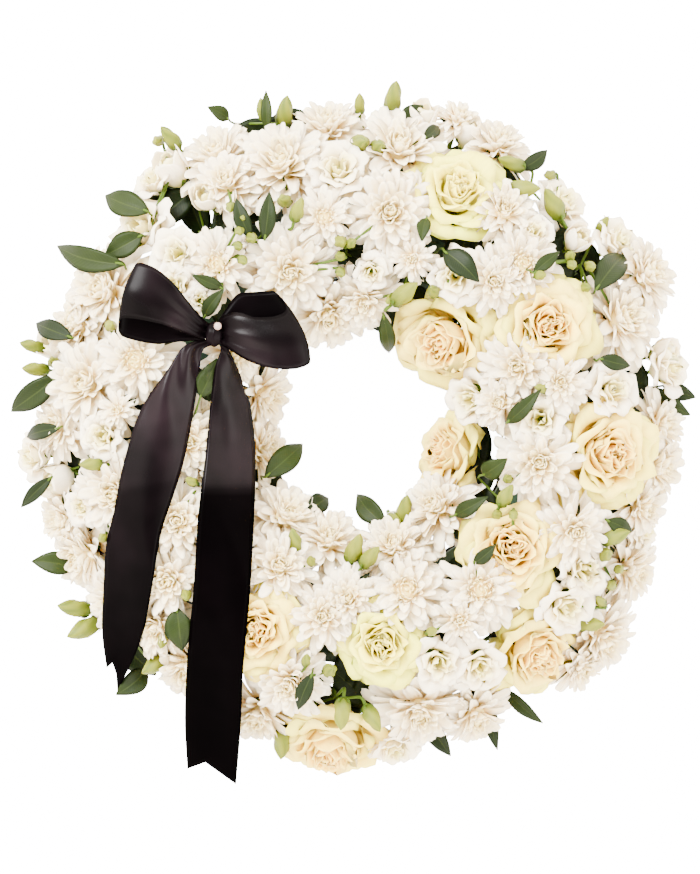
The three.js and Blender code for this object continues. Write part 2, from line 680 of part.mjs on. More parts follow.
const sprayNodes = named(sprays, 'leaf_spray').map((node, i) => {
  const { fork, buds, leaves } = sprays[i];
  const grown = [];
  for (const [x, y, length, way] of buds) {
    const upright = way === undefined;
    const turn = THREE.MathUtils.degToRad(upright ? 360 * random() : way);
    const tilt = THREE.MathUtils.degToRad(upright ? 75 : 28);
    const flat = Math.cos(tilt);
    const axis = new THREE.Vector3(Math.cos(turn) * flat, Math.sin(turn) * flat, Math.sin(tilt));
    const centre = onDome(x, y, upright ? 6 - length / 2 : 2);
    const bud = { kind: 'bud', centre, axis, length, upright, girth: Math.max(8, length * 0.55) };
    if (upright) {
      const host = nearestBloom(centre);
      bloomBuds.push({ ...bud, node: host.node, root: host.centre.clone().lerp(centre, 0.25) });
    } else {
      grown.push(bud);
    }
  }
  for (const [x, y, tipX, tipY, width] of leaves) {
    const foot = onDome(x, y, -3);
    const tip = onDome(tipX, tipY, 7);
    grown.push({ kind: 'leaf', foot, tip, width, roll: 0.3 * (random() - 0.5), arch: 0.12 });
  }
  const hub = onDome(fork[0], fork[1], -40);
  hub.z = Math.max(hub.z, 49);
  const { spot } = clearStalks(hub, (spot) => {
    const parts = [{ node, from: spot, to: foamPoint(spot.x, spot.y), radius: 1.7 }];
    parts.push(jointAt(node, spot));
    for (const piece of grown) {
      const bud = piece.kind === 'bud';
      const budFoot = () => piece.centre.clone().addScaledVector(piece.axis, -0.5 * piece.length);
      const from = bud ? budFoot() : stalkEnd(piece);
      parts.push({ node, from, to: spot, radius: 1.1, swept: bud });
    }
    return parts;
  });
  for (const piece of grown) piece.root = spot;
  return { node, grown };
});

// The bow: loops, knot and tails of one ribbon

// A band through rows of three places across it, as thick as the ribbon
function bandSolid(rows, thick) {
  const points = [];
  rows.forEach(([left, middle, right], i) => {
    const before = rows[Math.max(0, i - 1)][1];
    const after = rows[Math.min(rows.length - 1, i + 1)][1];
    const up = right.clone().sub(left).cross(after.clone().sub(before)).normalize();
    for (const place of [left, middle, right]) points.push(place.clone().addScaledVector(up, thick / 2));
    for (const place of [right, middle, left]) points.push(place.clone().addScaledVector(up, -thick / 2));
  });
  const triangles = [];
  for (let row = 0; row < rows.length - 1; row += 1) {
    for (let k = 0; k < 6; k += 1) {
      const a = row * 6 + k;
      const b = row * 6 + ((k + 1) % 6);
      // Alike on both faces, so that a twisted band never crosses itself
      if (k === 0 || k === 4 || k === 2) triangles.push([a, b, b + 6], [a, b + 6, a + 6]);
      else triangles.push([a, b, a + 6], [b, b + 6, a + 6]);
    }
  }
  const last = (rows.length - 1) * 6;
  for (const [a, b, c, d] of [[0, 1, 4, 5], [1, 2, 3, 4]]) {
    triangles.push([a, c, b], [a, d, c]);
    triangles.push([last + a, last + b, last + c], [last + a, last + c, last + d]);
  }
  return solidOf(points, triangles);
}

// Height at which the ribbon lies over the blooms, and hangs past their edge
function ribbonHeight(x, y) {
  const ring = Math.hypot(x, y);
  const edge = 235;
  const inner = 112;
  if (ring > edge) return domeHeight(edge, 0) + ribbon.above - 0.9 * (ring - edge);
  if (ring < inner) return domeHeight(inner, 0) + ribbon.above - 0.45 * (inner - ring);
  return domeHeight(x, y) + ribbon.above;
}

const knot = { x: -118, y: 80, z: 135, wide: 10.5, long: 12, high: 9.5 };
const knotPlace = new THREE.Vector3(knot.x, knot.y, knot.z);

// Left and right edges of each tail, from the knot down, in plan
const tails = [
  { edges: [[-127, 77, -119, 72], [-144, 70, -128, 66], [-157, 51, -131, 47], [-180, 17, -135, 19],
    [-195, -30, -143, -24], [-203, -69, -153, -57], [-210, -97, -163, -88], [-213, -136, -172, -140],
    [-215, -172, -182, -180], [-212, -203, -203, -224]], notch: [-204, -196] },
  { edges: [[-117, 74, -110, 76], [-113, 68, -97, 48], [-118, 51, -93, 33], [-122, 20, -88, 20],
    [-126, -22, -84, -22], [-132, -75, -85, -75], [-136, -137, -88, -136], [-142, -196, -94, -200],
    [-145, -247, -97, -252], [-144, -291, -102, -304]], notch: [-125, -283] },
];

function tailSolid({ edges, notch }, grown = 0) {
  const rows = edges.map(([x1, y1, x2, y2], i) => {
    const inKnot = i === 0;
    const left = new THREE.Vector3(x1, y1, inKnot ? knot.z - 4 : ribbonHeight(x1, y1));
    const right = new THREE.Vector3(x2, y2, inKnot ? knot.z - 4 : ribbonHeight(x2, y2));
    const middle = left.clone().lerp(right, 0.5);
    if (!inKnot) middle.z += 2;
    if (i === edges.length - 1) {
      [middle.x, middle.y] = notch;
      middle.z = ribbonHeight(...notch);
    }
    const out = right.clone().sub(left).normalize().multiplyScalar(grown);
    return [left.sub(out), middle, right.add(out)];
  });
  return bandSolid(rows, ribbon.thick + 2 * grown);
}

// A loop runs out over the blooms, turns at its end edge and comes back underneath
const loops = [
  { end: [[-186, 138], [-199, 89]], rise: 21 },
  { end: [[-37, 64], [-42, 110]], rise: 20 },
];

function loopSolid({ end, rise }, grown = 0) {
  const [a, b] = end.map(([x, y]) => new THREE.Vector3(x, y, 0));
  const middle = a.clone().lerp(b, 0.5);
  const root = new THREE.Vector3(knot.x, knot.y, 0);
  const along = middle.clone().sub(root);
  const length = along.length();
  along.divideScalar(length);
  const endAcross = b.clone().sub(a).normalize();
  const rootAcross = new THREE.Vector3(0, 0, 1).cross(along);
  if (rootAcross.dot(endAcross) < 0) rootAcross.negate();
  const path = new THREE.CatmullRomCurve3([
    [0.07, 3], [0.3, rise * 0.75], [0.7, rise], [0.95, rise * 0.85], [1, rise * 0.5],
    [0.93, 0], [0.6, -3], [0.3, -3], [0.07, -3],
  ].map(([s, h]) => new THREE.Vector3(s * length, 0, h)));
  const rows = path.getPoints(9).map((place) => {
    const share = THREE.MathUtils.clamp(place.x / (0.55 * length), 0, 1);
    const half = THREE.MathUtils.lerp(7, ribbon.width / 2, Math.sin((share * Math.PI) / 2)) + grown;
    const across = rootAcross.clone().lerp(endAcross, share).normalize();
    const centre = knotPlace.clone().addScaledVector(along, place.x);
    centre.z += place.z;
    const bulge = new THREE.Vector3(0, 0, place.z > rise / 3 ? 2 : -1);
    return [centre.clone().addScaledVector(across, -half), centre.clone().add(bulge),
      centre.clone().addScaledVector(across, half)];
  });
  return bandSolid(rows, ribbon.thick + 2 * grown);
}

function bowSolid(grown = 0) {
  const ball = new THREE.SphereGeometry(1, 8, 5);
  ball.rotateX(Math.PI / 2);
  ball.scale(knot.wide + grown, knot.long + grown, knot.high + grown);
  ball.translate(knot.x, knot.y, knot.z);
  const pieces = [solidFrom(ball)];
  for (const tail of tails) pieces.push(tailSolid(tail, grown));
  for (const loop of loops) pieces.push(loopSolid(loop, grown));
  return joined(pieces);
}

// The pin: a pearl on the knot and its shaft down through it into the foam
const pearl = new THREE.SphereGeometry(pin.pearl, 8, 6);
pearl.rotateX(Math.PI / 2);
pearl.translate(...pearlPlace);
addPart('pearl_pin', solidFrom(pearl).add(rod(pearlPlace, pinEnd, pin.shaft)), 'pearl');
const aboveAll = 160;
const pinRoom = joined([
  rod(pearlPlace, pinEnd, pin.shaft, gap),
  rod(pearlPlace, pearlPlace.clone().setZ(aboveAll), pin.pearl, gap),
]);
const pearlRoom = solidFrom(new THREE.SphereGeometry(pin.pearl + gap, 8, 6).rotateX(Math.PI / 2)
  .translate(...pearlPlace));
addPart('ribbon_bow', wholeOf(bowSolid().subtract(joined([pinRoom, pearlRoom]))), 'satin');
const bowRoom = bowSolid(0.6);

// Rooms of the stalks, and of the leaves and buds, that the other nodes keep clear of
const stalkRooms = new Map();
const grownRooms = new Map();
const keepRoom = (node, room) => stalkRooms.set(node, [...(stalkRooms.get(node) ?? []), room]);
const stemSolid = ({ path, radius }, grown = 0) => sweptSolid(path, path.map(() => radius + grown), 3);
for (const { node, stem } of collarNodes) keepRoom(node, stemSolid(stem, 2 * gap));
for (const one of stalks) {
  const { node, swept } = one;
  if (node === 'pearl_pin' || swept) continue;
  keepRoom(node, stalk(one, gap));
}
for (const [node, rooms] of stalkRooms) stalkRooms.set(node, joined(rooms));
stalkRooms.set('pearl_pin', pinRoom);
const pieceSolid = (piece, grown = 0) =>
  (piece.kind === 'leaf' ? leafSolid(piece, grown) : budSolid(piece, grown));
const greens = [...sprayNodes, ...collarNodes];

const touching = (a, b) => {
  const one = a.boundingBox();
  const two = b.boundingBox();
  return [0, 1, 2].every((k) => one.min[k] < two.max[k] && two.min[k] < one.max[k]);
};

// A solid less each room that reaches it
function clearOf(solid, rooms) {
  let left = solid;
  for (const room of rooms) if (touching(left, room)) left = left.subtract(room);
  return left;
}
const roomsBut = (rooms, node) => [...rooms].filter(([owner]) => owner !== node).map(([, room]) => room);
const ownStalks = (node) => stalks.filter((one) => one.node === node && !one.swept)
  .map((one) => stalk(one));

for (const { node, grown, stem } of greens) {
  const others = [...roomsBut(stalkRooms, node), ...grownRooms.values(), bowRoom];
  const pieces = grown.map((piece) => wholeOf(clearOf(pieceSolid(piece), others)));
  grownRooms.set(node, joined(grown.map((piece) => pieceSolid(piece, gap + 0.05))));
  const stems = stem ? [stemSolid(stem)] : [];
  addPart(node, wholeOf(joined([...pieces, ...stems, ...ownStalks(node)])), 'green');
}

// Buds that stand in a bloom, clear of what is already there, and their rooms for the other blooms
for (const bud of bloomBuds) {
  const others = [...roomsBut(stalkRooms, bud.node), ...grownRooms.values(), bowRoom];
  bud.solid = wholeOf(clearOf(budSolid(bud), others));
}
for (const bud of bloomBuds) {
  const own = grownRooms.get(bud.node);
  const room = budSolid(bud, gap);
  grownRooms.set(bud.node, own ? own.add(room) : room);
}

for (const { node, kind } of bloomNodes) {
  const others = [...roomsBut(stalkRooms, node), ...roomsBut(grownRooms, node), bowRoom];
  const heads = blooms.filter((bloom) => bloom.node === node)
    .map((bloom) => wholeOf(clearOf(bloomSolid(shapeOf(bloom), bloom), others)));
  const buds = bloomBuds.filter((bud) => bud.node === node).map((bud) => bud.solid);
  addPart(node, wholeOf(joined([...heads, ...buds, ...ownStalks(node)])), kind);
}

// Foam ring with a plain hole for each stem
const { outer, inner, bottom, top, bevel } = foam;
const foamProfile = [
  [inner, bottom], [outer, bottom], [outer, top - bevel], [outer - bevel, top],
  [inner + bevel, top], [inner, top - bevel], [inner, bottom],
].map(([x, y]) => new THREE.Vector2(x, y));
const foamBlank = solidFrom(new THREE.LatheGeometry(foamProfile, foam.sides).rotateX(Math.PI / 2));
const foamSolid = foamBlank.subtract(joined([...stalkRooms.values()]));
addPart('foam_ring', wholeOf(foamSolid), 'foam');

// Tray: a ring-shaped trough with a rolled lip
const clear = tray.gap;
const trayProfile = [
  [inner - clear - tray.wall, 0], [outer + clear + tray.wall, 0], [outer + clear + tray.wall, tray.height],
  [outer + clear, tray.height], [outer + clear, tray.floor], [inner - clear, tray.floor],
  [inner - clear, tray.height], [inner - clear - tray.wall, tray.height], [inner - clear - tray.wall, 0],
].map(([x, y]) => new THREE.Vector2(x, y));
const trayShape = new THREE.LatheGeometry(trayProfile, tray.sides).rotateX(Math.PI / 2);
addPart('base_tray', solidFrom(trayShape), 'tray');

// The origin is under the middle of the whole
const box = new THREE.Box3().setFromObject(group);
const centre = box.getCenter(new THREE.Vector3());
group.position.set(-centre.x, -centre.y, 0);

export default group;
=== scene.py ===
import math

import bpy
import numpy as np
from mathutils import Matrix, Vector


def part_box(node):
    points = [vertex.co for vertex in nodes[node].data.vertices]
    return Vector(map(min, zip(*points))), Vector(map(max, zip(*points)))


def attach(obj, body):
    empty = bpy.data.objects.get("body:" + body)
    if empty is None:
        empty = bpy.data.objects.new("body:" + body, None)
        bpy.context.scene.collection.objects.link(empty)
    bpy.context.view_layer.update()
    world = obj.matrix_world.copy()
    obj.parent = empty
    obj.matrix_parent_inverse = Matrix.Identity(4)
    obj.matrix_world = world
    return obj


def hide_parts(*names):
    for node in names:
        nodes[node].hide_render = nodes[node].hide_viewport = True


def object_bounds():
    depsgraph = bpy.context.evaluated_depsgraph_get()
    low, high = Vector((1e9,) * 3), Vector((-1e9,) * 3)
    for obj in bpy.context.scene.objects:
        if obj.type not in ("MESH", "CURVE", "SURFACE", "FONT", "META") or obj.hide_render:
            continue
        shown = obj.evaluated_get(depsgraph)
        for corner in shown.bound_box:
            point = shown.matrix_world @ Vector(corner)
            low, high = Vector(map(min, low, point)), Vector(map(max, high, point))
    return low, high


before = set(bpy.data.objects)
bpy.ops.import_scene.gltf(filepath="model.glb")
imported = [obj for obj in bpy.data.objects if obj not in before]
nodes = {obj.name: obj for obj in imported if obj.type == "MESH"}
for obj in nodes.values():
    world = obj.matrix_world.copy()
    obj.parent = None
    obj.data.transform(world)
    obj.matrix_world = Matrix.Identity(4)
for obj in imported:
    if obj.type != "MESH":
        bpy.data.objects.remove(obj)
sizeBefore = [list(corner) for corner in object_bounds()]
print("frame loaded:", len(nodes), "nodes")

# Places are in mm from the ring's axis, +Y to the top of the wreath, as in the part's own tables
low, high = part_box("foam_ring")
boxLow, boxHigh = np.array(sizeBefore[0]) + 0.0004, np.array(sizeBefore[1]) - 0.0004
axisPlace = np.array([(low.x + high.x) / 2, (low.y + high.y) / 2, 0.0])
up = np.array([0.0, 0.0, 1.0])

dome = {"ring": 170, "halfWidth": 102, "core": 22, "height": 103, "steepest": 0.965,
        "sunk": 0.45, "least": 44}
foam = {"outer": 200, "inner": 132, "reach": 0.34, "most": 27, "high": 27, "low": 18}
ribbon = {"width": 48, "shown": 0.6, "above": 5, "innerEdge": 112, "outerEdge": 235,
          "pastSlope": 0.9, "withinSlope": 0.45, "under": 2.5, "aside": 5, "beyond": 4, "knotLine": 76}

# x, y and diameter of each bloom
roses = [
    [85, 200, 80], [77, 77, 85], [162, 88, 80], [213, -20, 88], [82, -19, 72],
    [132, -99, 80], [153, -187, 80], [23, -180, 68], [-83, -168, 72], [-20, -265, 85],
]
mumSprays = [
    [[-115, 230, 70], [-108, 208, 55], [-61, 223, 76]],
    [[-23, 255, 65], [37, 236, 76], [88, 265, 38]],
    [[30, 183, 68], [48, 144, 34], [-26, 179, 44], [8, 110, 50], [-23, 100, 62]],
    [[-55, 134, 68], [-116, 139, 54]],
    [[-210, 117, 72], [-234, 89, 55], [-184, 58, 60], [-225, 38, 72], [-249, 4, 55]],
    [[-200, 17, 30], [-201, -53, 66], [-246, -76, 55], [-229, -105, 66], [-200, -145, 60]],
    [[-142, -9, 62], [-149, -77, 62], [-110, -43, 50], [-79, -17, 52], [-79, 30, 58], [-102, 64, 46]],
    [[-157, -126, 58], [-167, -166, 55], [-140, -200, 62], [-110, -110, 56]],
    [[-27, -157, 52], [-64, -116, 60], [-60, -75, 62], [-23, -95, 58], [-6, -143, 50]],
    [[44, -136, 62], [34, -100, 60], [71, -66, 62], [88, -160, 40], [106, -134, 60]],
    [[55, -236, 68], [102, -242, 58], [-82, -240, 62], [-55, -213, 56]],
    [[208, -177, 66], [191, -202, 45], [234, -119, 58], [184, -85, 55]],
    [[255, -32, 62], [242, -66, 50], [259, 4, 52]],
    [[224, 93, 70], [247, 132, 60]],
    [[126, 184, 52], [140, 139, 58], [117, 125, 48], [122, 242, 55]],
    [[138, 53, 56], [173, 40, 44], [123, 23, 45], [156, -28, 62]],
]
eyedMums = {(-26, 179), (-116, 139), (-184, 58), (44, -136), (140, 139), (106, -134)}
# A fourth value of 1 is a half-open cup
lisianthusStems = [
    [[-183, 172, 50], [-157, 223, 40, 1], [-172, 213, 34], [-126, 197, 32, 1]],
    [[-149, 148, 42], [-152, 121, 36], [-130, 109, 24]],
    [[56, 267, 36, 1], [96, 256, 32, 1]],
    [[-14, 221, 48], [14, 133, 30], [84, 129, 42]],
    [[151, 167, 32], [176, 194, 48], [225, 161, 44], [189, 162, 30, 1]],
    [[218, 34, 42], [269, 53, 42], [264, 66, 30, 1]],
    [[156, 9, 42], [98, 26, 42]],
    [[246, -85, 34], [194, -119, 46], [179, -150, 46]],
    [[71, -196, 42], [105, -200, 42], [34, -272, 38]],
    [[-213, -5, 38], [-253, -43, 40, 1], [-275, -23, 36], [-230, -65, 32], [-256, 73, 36, 1]],
]
# Buds are x, y, length and the way they lie in degrees; leaves are foot, tip and width
sprays = [
    {"fork": [-150, 236], "buds": [[-169, 247, 20], [-158, 250, 27, 130]],
     "leaves": [[-175, 185, -213, 200, 24], [-180, 165, -212, 148, 22], [-195, 140, -254, 157, 22]]},
    {"fork": [-68, 262], "buds": [[-79, 274, 22, 100], [-60, 272, 31, 80]],
     "leaves": [[-75, 255, -76, 290, 10], [-108, 266, -126, 276, 13]]},
    {"fork": [12, 250], "buds": [[4, 279, 20, 90], [33, 285, 31, 80], [5, 243, 32], [20, 240, 26]],
     "leaves": [[38, 262, 58, 277, 16]]},
    {"fork": [-72, 172], "buds": [[-60, 193, 24], [-48, 185, 24, 70], [-87, 161, 20], [-12, 158, 22]],
     "leaves": [[-76, 160, -72, 200, 15], [-88, 162, -100, 195, 14]]},
    {"fork": [40, 118], "buds": [[42, 115, 31, 40], [66, 117, 22]],
     "leaves": [[24, 98, 29, 66, 14], [60, 178, 56, 158, 12], [75, 150, 104, 124, 22]]},
    {"fork": [150, 205], "buds": [[133, 227, 27, 160], [142, 204, 33, 0], [168, 192, 33, 120]],
     "leaves": [[141, 222, 164, 239, 14]]},
    {"fork": [192, 140], "buds": [[212, 176, 18, 55], [199, 138, 19], [195, 120, 16]],
     "leaves": [[203, 118, 230, 149, 24], [206, 60, 232, 54, 14]]},
    {"fork": [-250, 52], "buds": [[-276, 72, 24, 165], [-273, 52, 26, 175], [-257, 58, 20]],
     "leaves": [[-240, 78, -272, 91, 18], [-252, 46, -294, 16, 22]]},
    {"fork": [-222, -28], "buds": [[-222, -29, 23, 180]],
     "leaves": [[-250, 2, -280, -6, 14], [-258, -40, -285, -66, 12], [-240, -118, -276, -112, 20]]},
    {"fork": [-190, -180],
     "buds": [[-240, -152, 32, 170], [-232, -170, 34, 205], [-170, -199, 30, 215], [-142, -139, 20]],
     "leaves": [[-178, -205, -204, -226, 20], [-150, -150, -146, -186, 24]]},
    {"fork": [-12, -116],
     "buds": [[-51, -93, 24, 100], [0, -100, 30, 70], [13, -107, 26, 50], [42, -68, 30, 80]],
     "leaves": [[-40, -70, -23, -58, 18], [-76, -40, -45, -12, 22], [26, -80, 2, -55, 20]]},
    {"fork": [126, -62], "buds": [[127, -55, 24, 60], [119, -71, 18]],
     "leaves": [[108, -38, 128, -24, 18], [84, -72, 112, -56, 14], [128, 6, 156, 34, 14]]},
    {"fork": [222, -134], "buds": [[220, -90, 28, 20], [212, -105, 24], [217, -132, 18], [200, -165, 27, 0]],
     "leaves": [[212, -76, 234, -86, 14]]},
    {"fork": [-18, -228],
     "buds": [[-21, -202, 24], [-11, -240, 30, 265], [15, -244, 28, 300], [-62, -266, 34, 265]],
     "leaves": [[-36, -205, -48, -236, 14]]},
]
collars = [[24, 84, 4], [102, 168, 4], [192, 252, 4], [284, 371, 5]]  # first and last degree, leaves
# Single leaves beyond the blooms: foot, tip, width and the leafy stem they belong to
farLeaves = [
    [242, 33, 287, 13, 22, 3], [264, 38, 292, 28, 16, 3], [60, -250, 82, -279, 16, 3],
    [118, -236, 122, -274, 12, 3], [128, -222, 161, -251, 12, 3],
]


# Geometry helpers

def unit(v):
    return v / np.maximum(np.linalg.norm(v, axis=-1, keepdims=True), 1e-9)


def polar(degrees):
    turn = math.radians(degrees)
    return np.array([math.cos(turn), math.sin(turn), 0.0])


def domeHeight(x, y):
    # core + height * sqrt(1 - ((distance - ring) / halfWidth)^2)
    across = (np.hypot(x, y) - dome["ring"]) / dome["halfWidth"]
    return dome["core"] + dome["height"] * np.sqrt(np.maximum(0, 1 - across ** 2))


def onDome(x, y, above):
    return np.array([x, y, max(float(domeHeight(x, y)), dome["least"]) + above])


def seatAt(x, y, radius, lower=0.0):
    # Centre of a bloom, sunk a share of its radius, and its axis square to the dome's own ellipse:
    # (distance - ring) / (halfWidth - sunk) is the sine of the slope's angle
    sunk = dome["sunk"] * radius + lower
    ring = math.hypot(x, y)
    outward = np.array([x / ring, y / ring, 0.0])
    sine = np.clip((ring - dome["ring"]) / (dome["halfWidth"] - sunk), -dome["steepest"], dome["steepest"])
    cosine = math.sqrt(1 - sine ** 2)
    centre = np.array([x, y, dome["core"] + (dome["height"] - sunk) * cosine])
    axis = unit(outward * sine / (dome["halfWidth"] - sunk) + up * cosine / (dome["height"] - sunk))
    return centre, axis, outward


def foamPoint(x, y):
    # Where a stem ends in the foam: drawn in towards the foam's middle line, lower towards its edges
    ring = math.hypot(x, y)
    share = min(1, abs(ring - dome["ring"]) / dome["halfWidth"])
    offset = np.clip((ring - dome["ring"]) * foam["reach"], -foam["most"], foam["most"])
    to = ((foam["outer"] + foam["inner"]) / 2 + offset) / ring
    return np.array([x * to, y * to, foam["high"] + (foam["low"] - foam["high"]) * share ** 2])


def basisOf(axis):
    side = unit(np.cross(np.array([0.0, 1.0, 0.0]), axis))
    return np.stack([side, np.cross(axis, side), axis])


def bladeRings(grid, thick):
    # Upper face of each blade as (blades, along, across), its underside one thickness below;
    # the edges are shared, so that a row is one closed ring
    lengthwise = np.gradient(grid, axis=1)
    crosswise = np.gradient(grid, axis=2)
    normal = unit(np.cross(lengthwise, crosswise))
    under = (grid - normal * np.asarray(thick).reshape(-1, 1, 1, 1))[:, :, 1:-1][:, :, ::-1]
    return np.concatenate([grid, under], axis=2)


def bladeValues(values):
    return np.concatenate([values, values[:, :, 1:-1][:, :, ::-1]], axis=2)


def tubeRings(path, radii, sides):
    # Circle carried along a path: point + radius * (side * cos(turn) - other * sin(turn))
    path = np.asarray(path, float)
    along = unit(np.gradient(path, axis=0))
    side = unit(np.cross(along, np.where(np.abs(along[:, 2:3]) > 0.9, [[1.0, 0.0, 0.0]], [[0.0, 0.0, 1.0]])))
    for k in range(1, len(side)):  # a short path: each section is turned on from the one before
        side[k] = unit(side[k - 1] - along[k] * np.dot(side[k - 1], along[k]))
    other = np.cross(along, side)
    turn = np.linspace(0, 2 * np.pi, sides, endpoint=False)
    radii = np.broadcast_to(radii, (len(path),))[:, None, None]
    ring = side[:, None] * np.cos(turn)[None, :, None] - other[:, None] * np.sin(turn)[None, :, None]
    return (path[:, None] + radii * ring)[None]


def splinePath(points, count):
    # Catmull-Rom through the points, each end carried on by its own last step
    points = np.asarray(points, float)
    padded = np.concatenate([2 * points[:1] - points[1:2], points, 2 * points[-1:] - points[-2:-1]])
    place = np.linspace(0, len(points) - 1, count)
    start = np.minimum(place.astype(int), len(points) - 2)
    t = (place - start).reshape((-1,) + (1,) * (points.ndim - 1))
    a, b, c, d = (padded[start + k] for k in range(4))
    square, cube = 2 * a - 5 * b + 4 * c - d, 3 * b - a - 3 * c + d
    return 0.5 * (2 * b + (c - a) * t + square * t ** 2 + cube * t ** 3)


class Parts:
    # Closed rings of one piece, gathered and then made into one mesh

    def __init__(self):
        self.rings = []

    def add(self, rings, material, along=None, across=0.0, own=0.5, depth=1.0):
        count, rows, sides = rings.shape[:3]
        if along is None:
            along = np.linspace(0, 1, rows)[None, :, None]
        own = np.asarray(own, float).reshape(-1, 1, 1) if np.ndim(own) == 1 else own
        depth = np.asarray(depth, float).reshape(-1, 1, 1) if np.ndim(depth) == 1 else depth
        shape = (count, rows, sides)
        values = [np.broadcast_to(v, shape).ravel() for v in (along, across, own, depth)]
        self.rings.append((rings, material, values))

    def mesh(self, name, materials):
        places, corners, starts, slots, values = [], [], [], [], []
        base = 0
        for rings, material, own in self.rings:
            count, rows, sides = rings.shape[:3]
            index = base + np.arange(count * rows * sides).reshape(count, rows, sides)
            nextOne = np.roll(index, -1, axis=2)
            quads = np.stack([index[:, :-1], index[:, 1:], nextOne[:, 1:], nextOne[:, :-1]], axis=-1)
            caps = np.concatenate([index[:, 0], index[:, -1, ::-1]])
            for faces in (quads.reshape(-1, 4), caps):
                starts.append(np.full(len(faces), faces.shape[1]))
                corners.append(faces.ravel())
                slots.append(np.full(len(faces), material))
            places.append(rings.reshape(-1, 3))
            values.append(own)
            base += count * rows * sides
        places = (np.concatenate(places) + axisPlace * 1000) / 1000
        places = np.clip(places, boxLow, boxHigh)
        corners, slots = np.concatenate(corners), np.concatenate(slots)
        totals = np.concatenate(starts)
        mesh = bpy.data.meshes.new(name)
        mesh.vertices.add(len(places))
        mesh.loops.add(len(corners))
        mesh.polygons.add(len(totals))
        mesh.vertices.foreach_set("co", places.astype(np.float32).ravel())
        mesh.loops.foreach_set("vertex_index", corners.astype(np.int32))
        loopStarts = np.concatenate([[0], np.cumsum(totals)[:-1]])
        mesh.polygons.foreach_set("loop_start", loopStarts.astype(np.int32))
        mesh.polygons.foreach_set("use_smooth", np.ones(len(totals), bool))
        mesh.polygons.foreach_set("material_index", slots.astype(np.int32))
        for k, word in enumerate(("along", "across", "own", "depth")):
            layer = mesh.attributes.new(word, "FLOAT", "POINT")
            layer.data.foreach_set("value", np.concatenate([v[k] for v in values]).astype(np.float32))
        mesh.update()
        mesh.validate()
        for material in materials:
            mesh.materials.append(material)
        return mesh


def makePiece(node, parts, materials):
    piece = bpy.data.objects.new(node + "_fine", parts.mesh(node, materials))
    bpy.context.scene.collection.objects.link(piece)
    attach(piece, "root")
    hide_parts(node)
    return piece


# Material slots of a bloom's piece; the other pieces have their main material in the first slot
petalSlot, stemSlot, budSlot, leafSlot = 0, 1, 2, 3
firstSlot = 0
goldenTurn = 2.39996  # radians from one petal to the next

# Materials

petalColours = {
    "mum": {"root": (0.96, 0.66, 0.22), "blade": (0.99, 0.84, 0.555), "edge": (0.99, 0.87, 0.63),
            "heart": (0.96, 0.76, 0.20), "roughness": 0.62},
    "rose": {"root": (0.92, 0.68, 0.11), "blade": (0.99, 0.73, 0.14), "edge": (0.66, 0.67, 0.06),
             "heart": (0.99, 0.60, 0.10), "roughness": 0.55},
    "greenRose": {"root": (0.66, 0.66, 0.04), "blade": (0.92, 0.82, 0.10), "edge": (0.50, 0.62, 0.03),
                  "heart": (0.98, 0.80, 0.12), "roughness": 0.55},
    "lisianthus": {"root": (0.60, 0.62, 0.10), "blade": (0.99, 0.85, 0.59), "edge": (0.99, 0.88, 0.68),
                   "heart": (0.84, 0.76, 0.20), "roughness": 0.6},
    "bud": {"root": (0.020, 0.044, 0.0015), "blade": (0.150, 0.165, 0.008), "edge": (0.050, 0.080, 0.003),
            "heart": (0.09, 0.14, 0.008), "roughness": 0.5},
}
greenColours = {
    "leaf": {"dark": (0.0021, 0.0058, 0.0009), "light": (0.010, 0.018, 0.0016), "vein": (0.023, 0.034, 0.006),
             "roughness": 0.5},
    "stem": {"dark": (0.011, 0.028, 0.0016), "light": (0.038, 0.070, 0.005), "vein": (0.055, 0.095, 0.009),
             "roughness": 0.5},
}


class Nodes:
    # A short way to lay out one node tree

    def __init__(self, tree):
        self.tree = tree

    def new(self, kind, inputs=None, **settings):
        node = self.tree.nodes.new(kind)
        for word, value in settings.items():
            setattr(node, word, value)
        for key, value in (inputs or {}).items():
            if isinstance(value, bpy.types.NodeSocket):
                self.tree.links.new(value, node.inputs[key])
            else:
                node.inputs[key].default_value = value
        return node

    def maths(self, operation, a, b=0.0, clamp=False):
        return self.new("ShaderNodeMath", {0: a, 1: b}, operation=operation, use_clamp=clamp).outputs[0]

    def mix(self, factor, a, b, blend="MIX"):
        node = self.new("ShaderNodeMix", {0: factor, 6: a, 7: b}, data_type="RGBA", blend_type=blend)
        return node.outputs[2]

    def value(self, word):
        return self.new("ShaderNodeAttribute", attribute_name=word, attribute_type="GEOMETRY").outputs["Fac"]


def colour4(colour):
    return (*colour, 1.0)


def newGroup(name, inputs, outputs):
    group = bpy.data.node_groups.new(name, "ShaderNodeTree")
    for word in inputs:
        group.interface.new_socket(word, in_out="INPUT", socket_type="NodeSocketColor")
    for word, kind in outputs:
        group.interface.new_socket(word, in_out="OUTPUT", socket_type=kind)
    return group, Nodes(group)


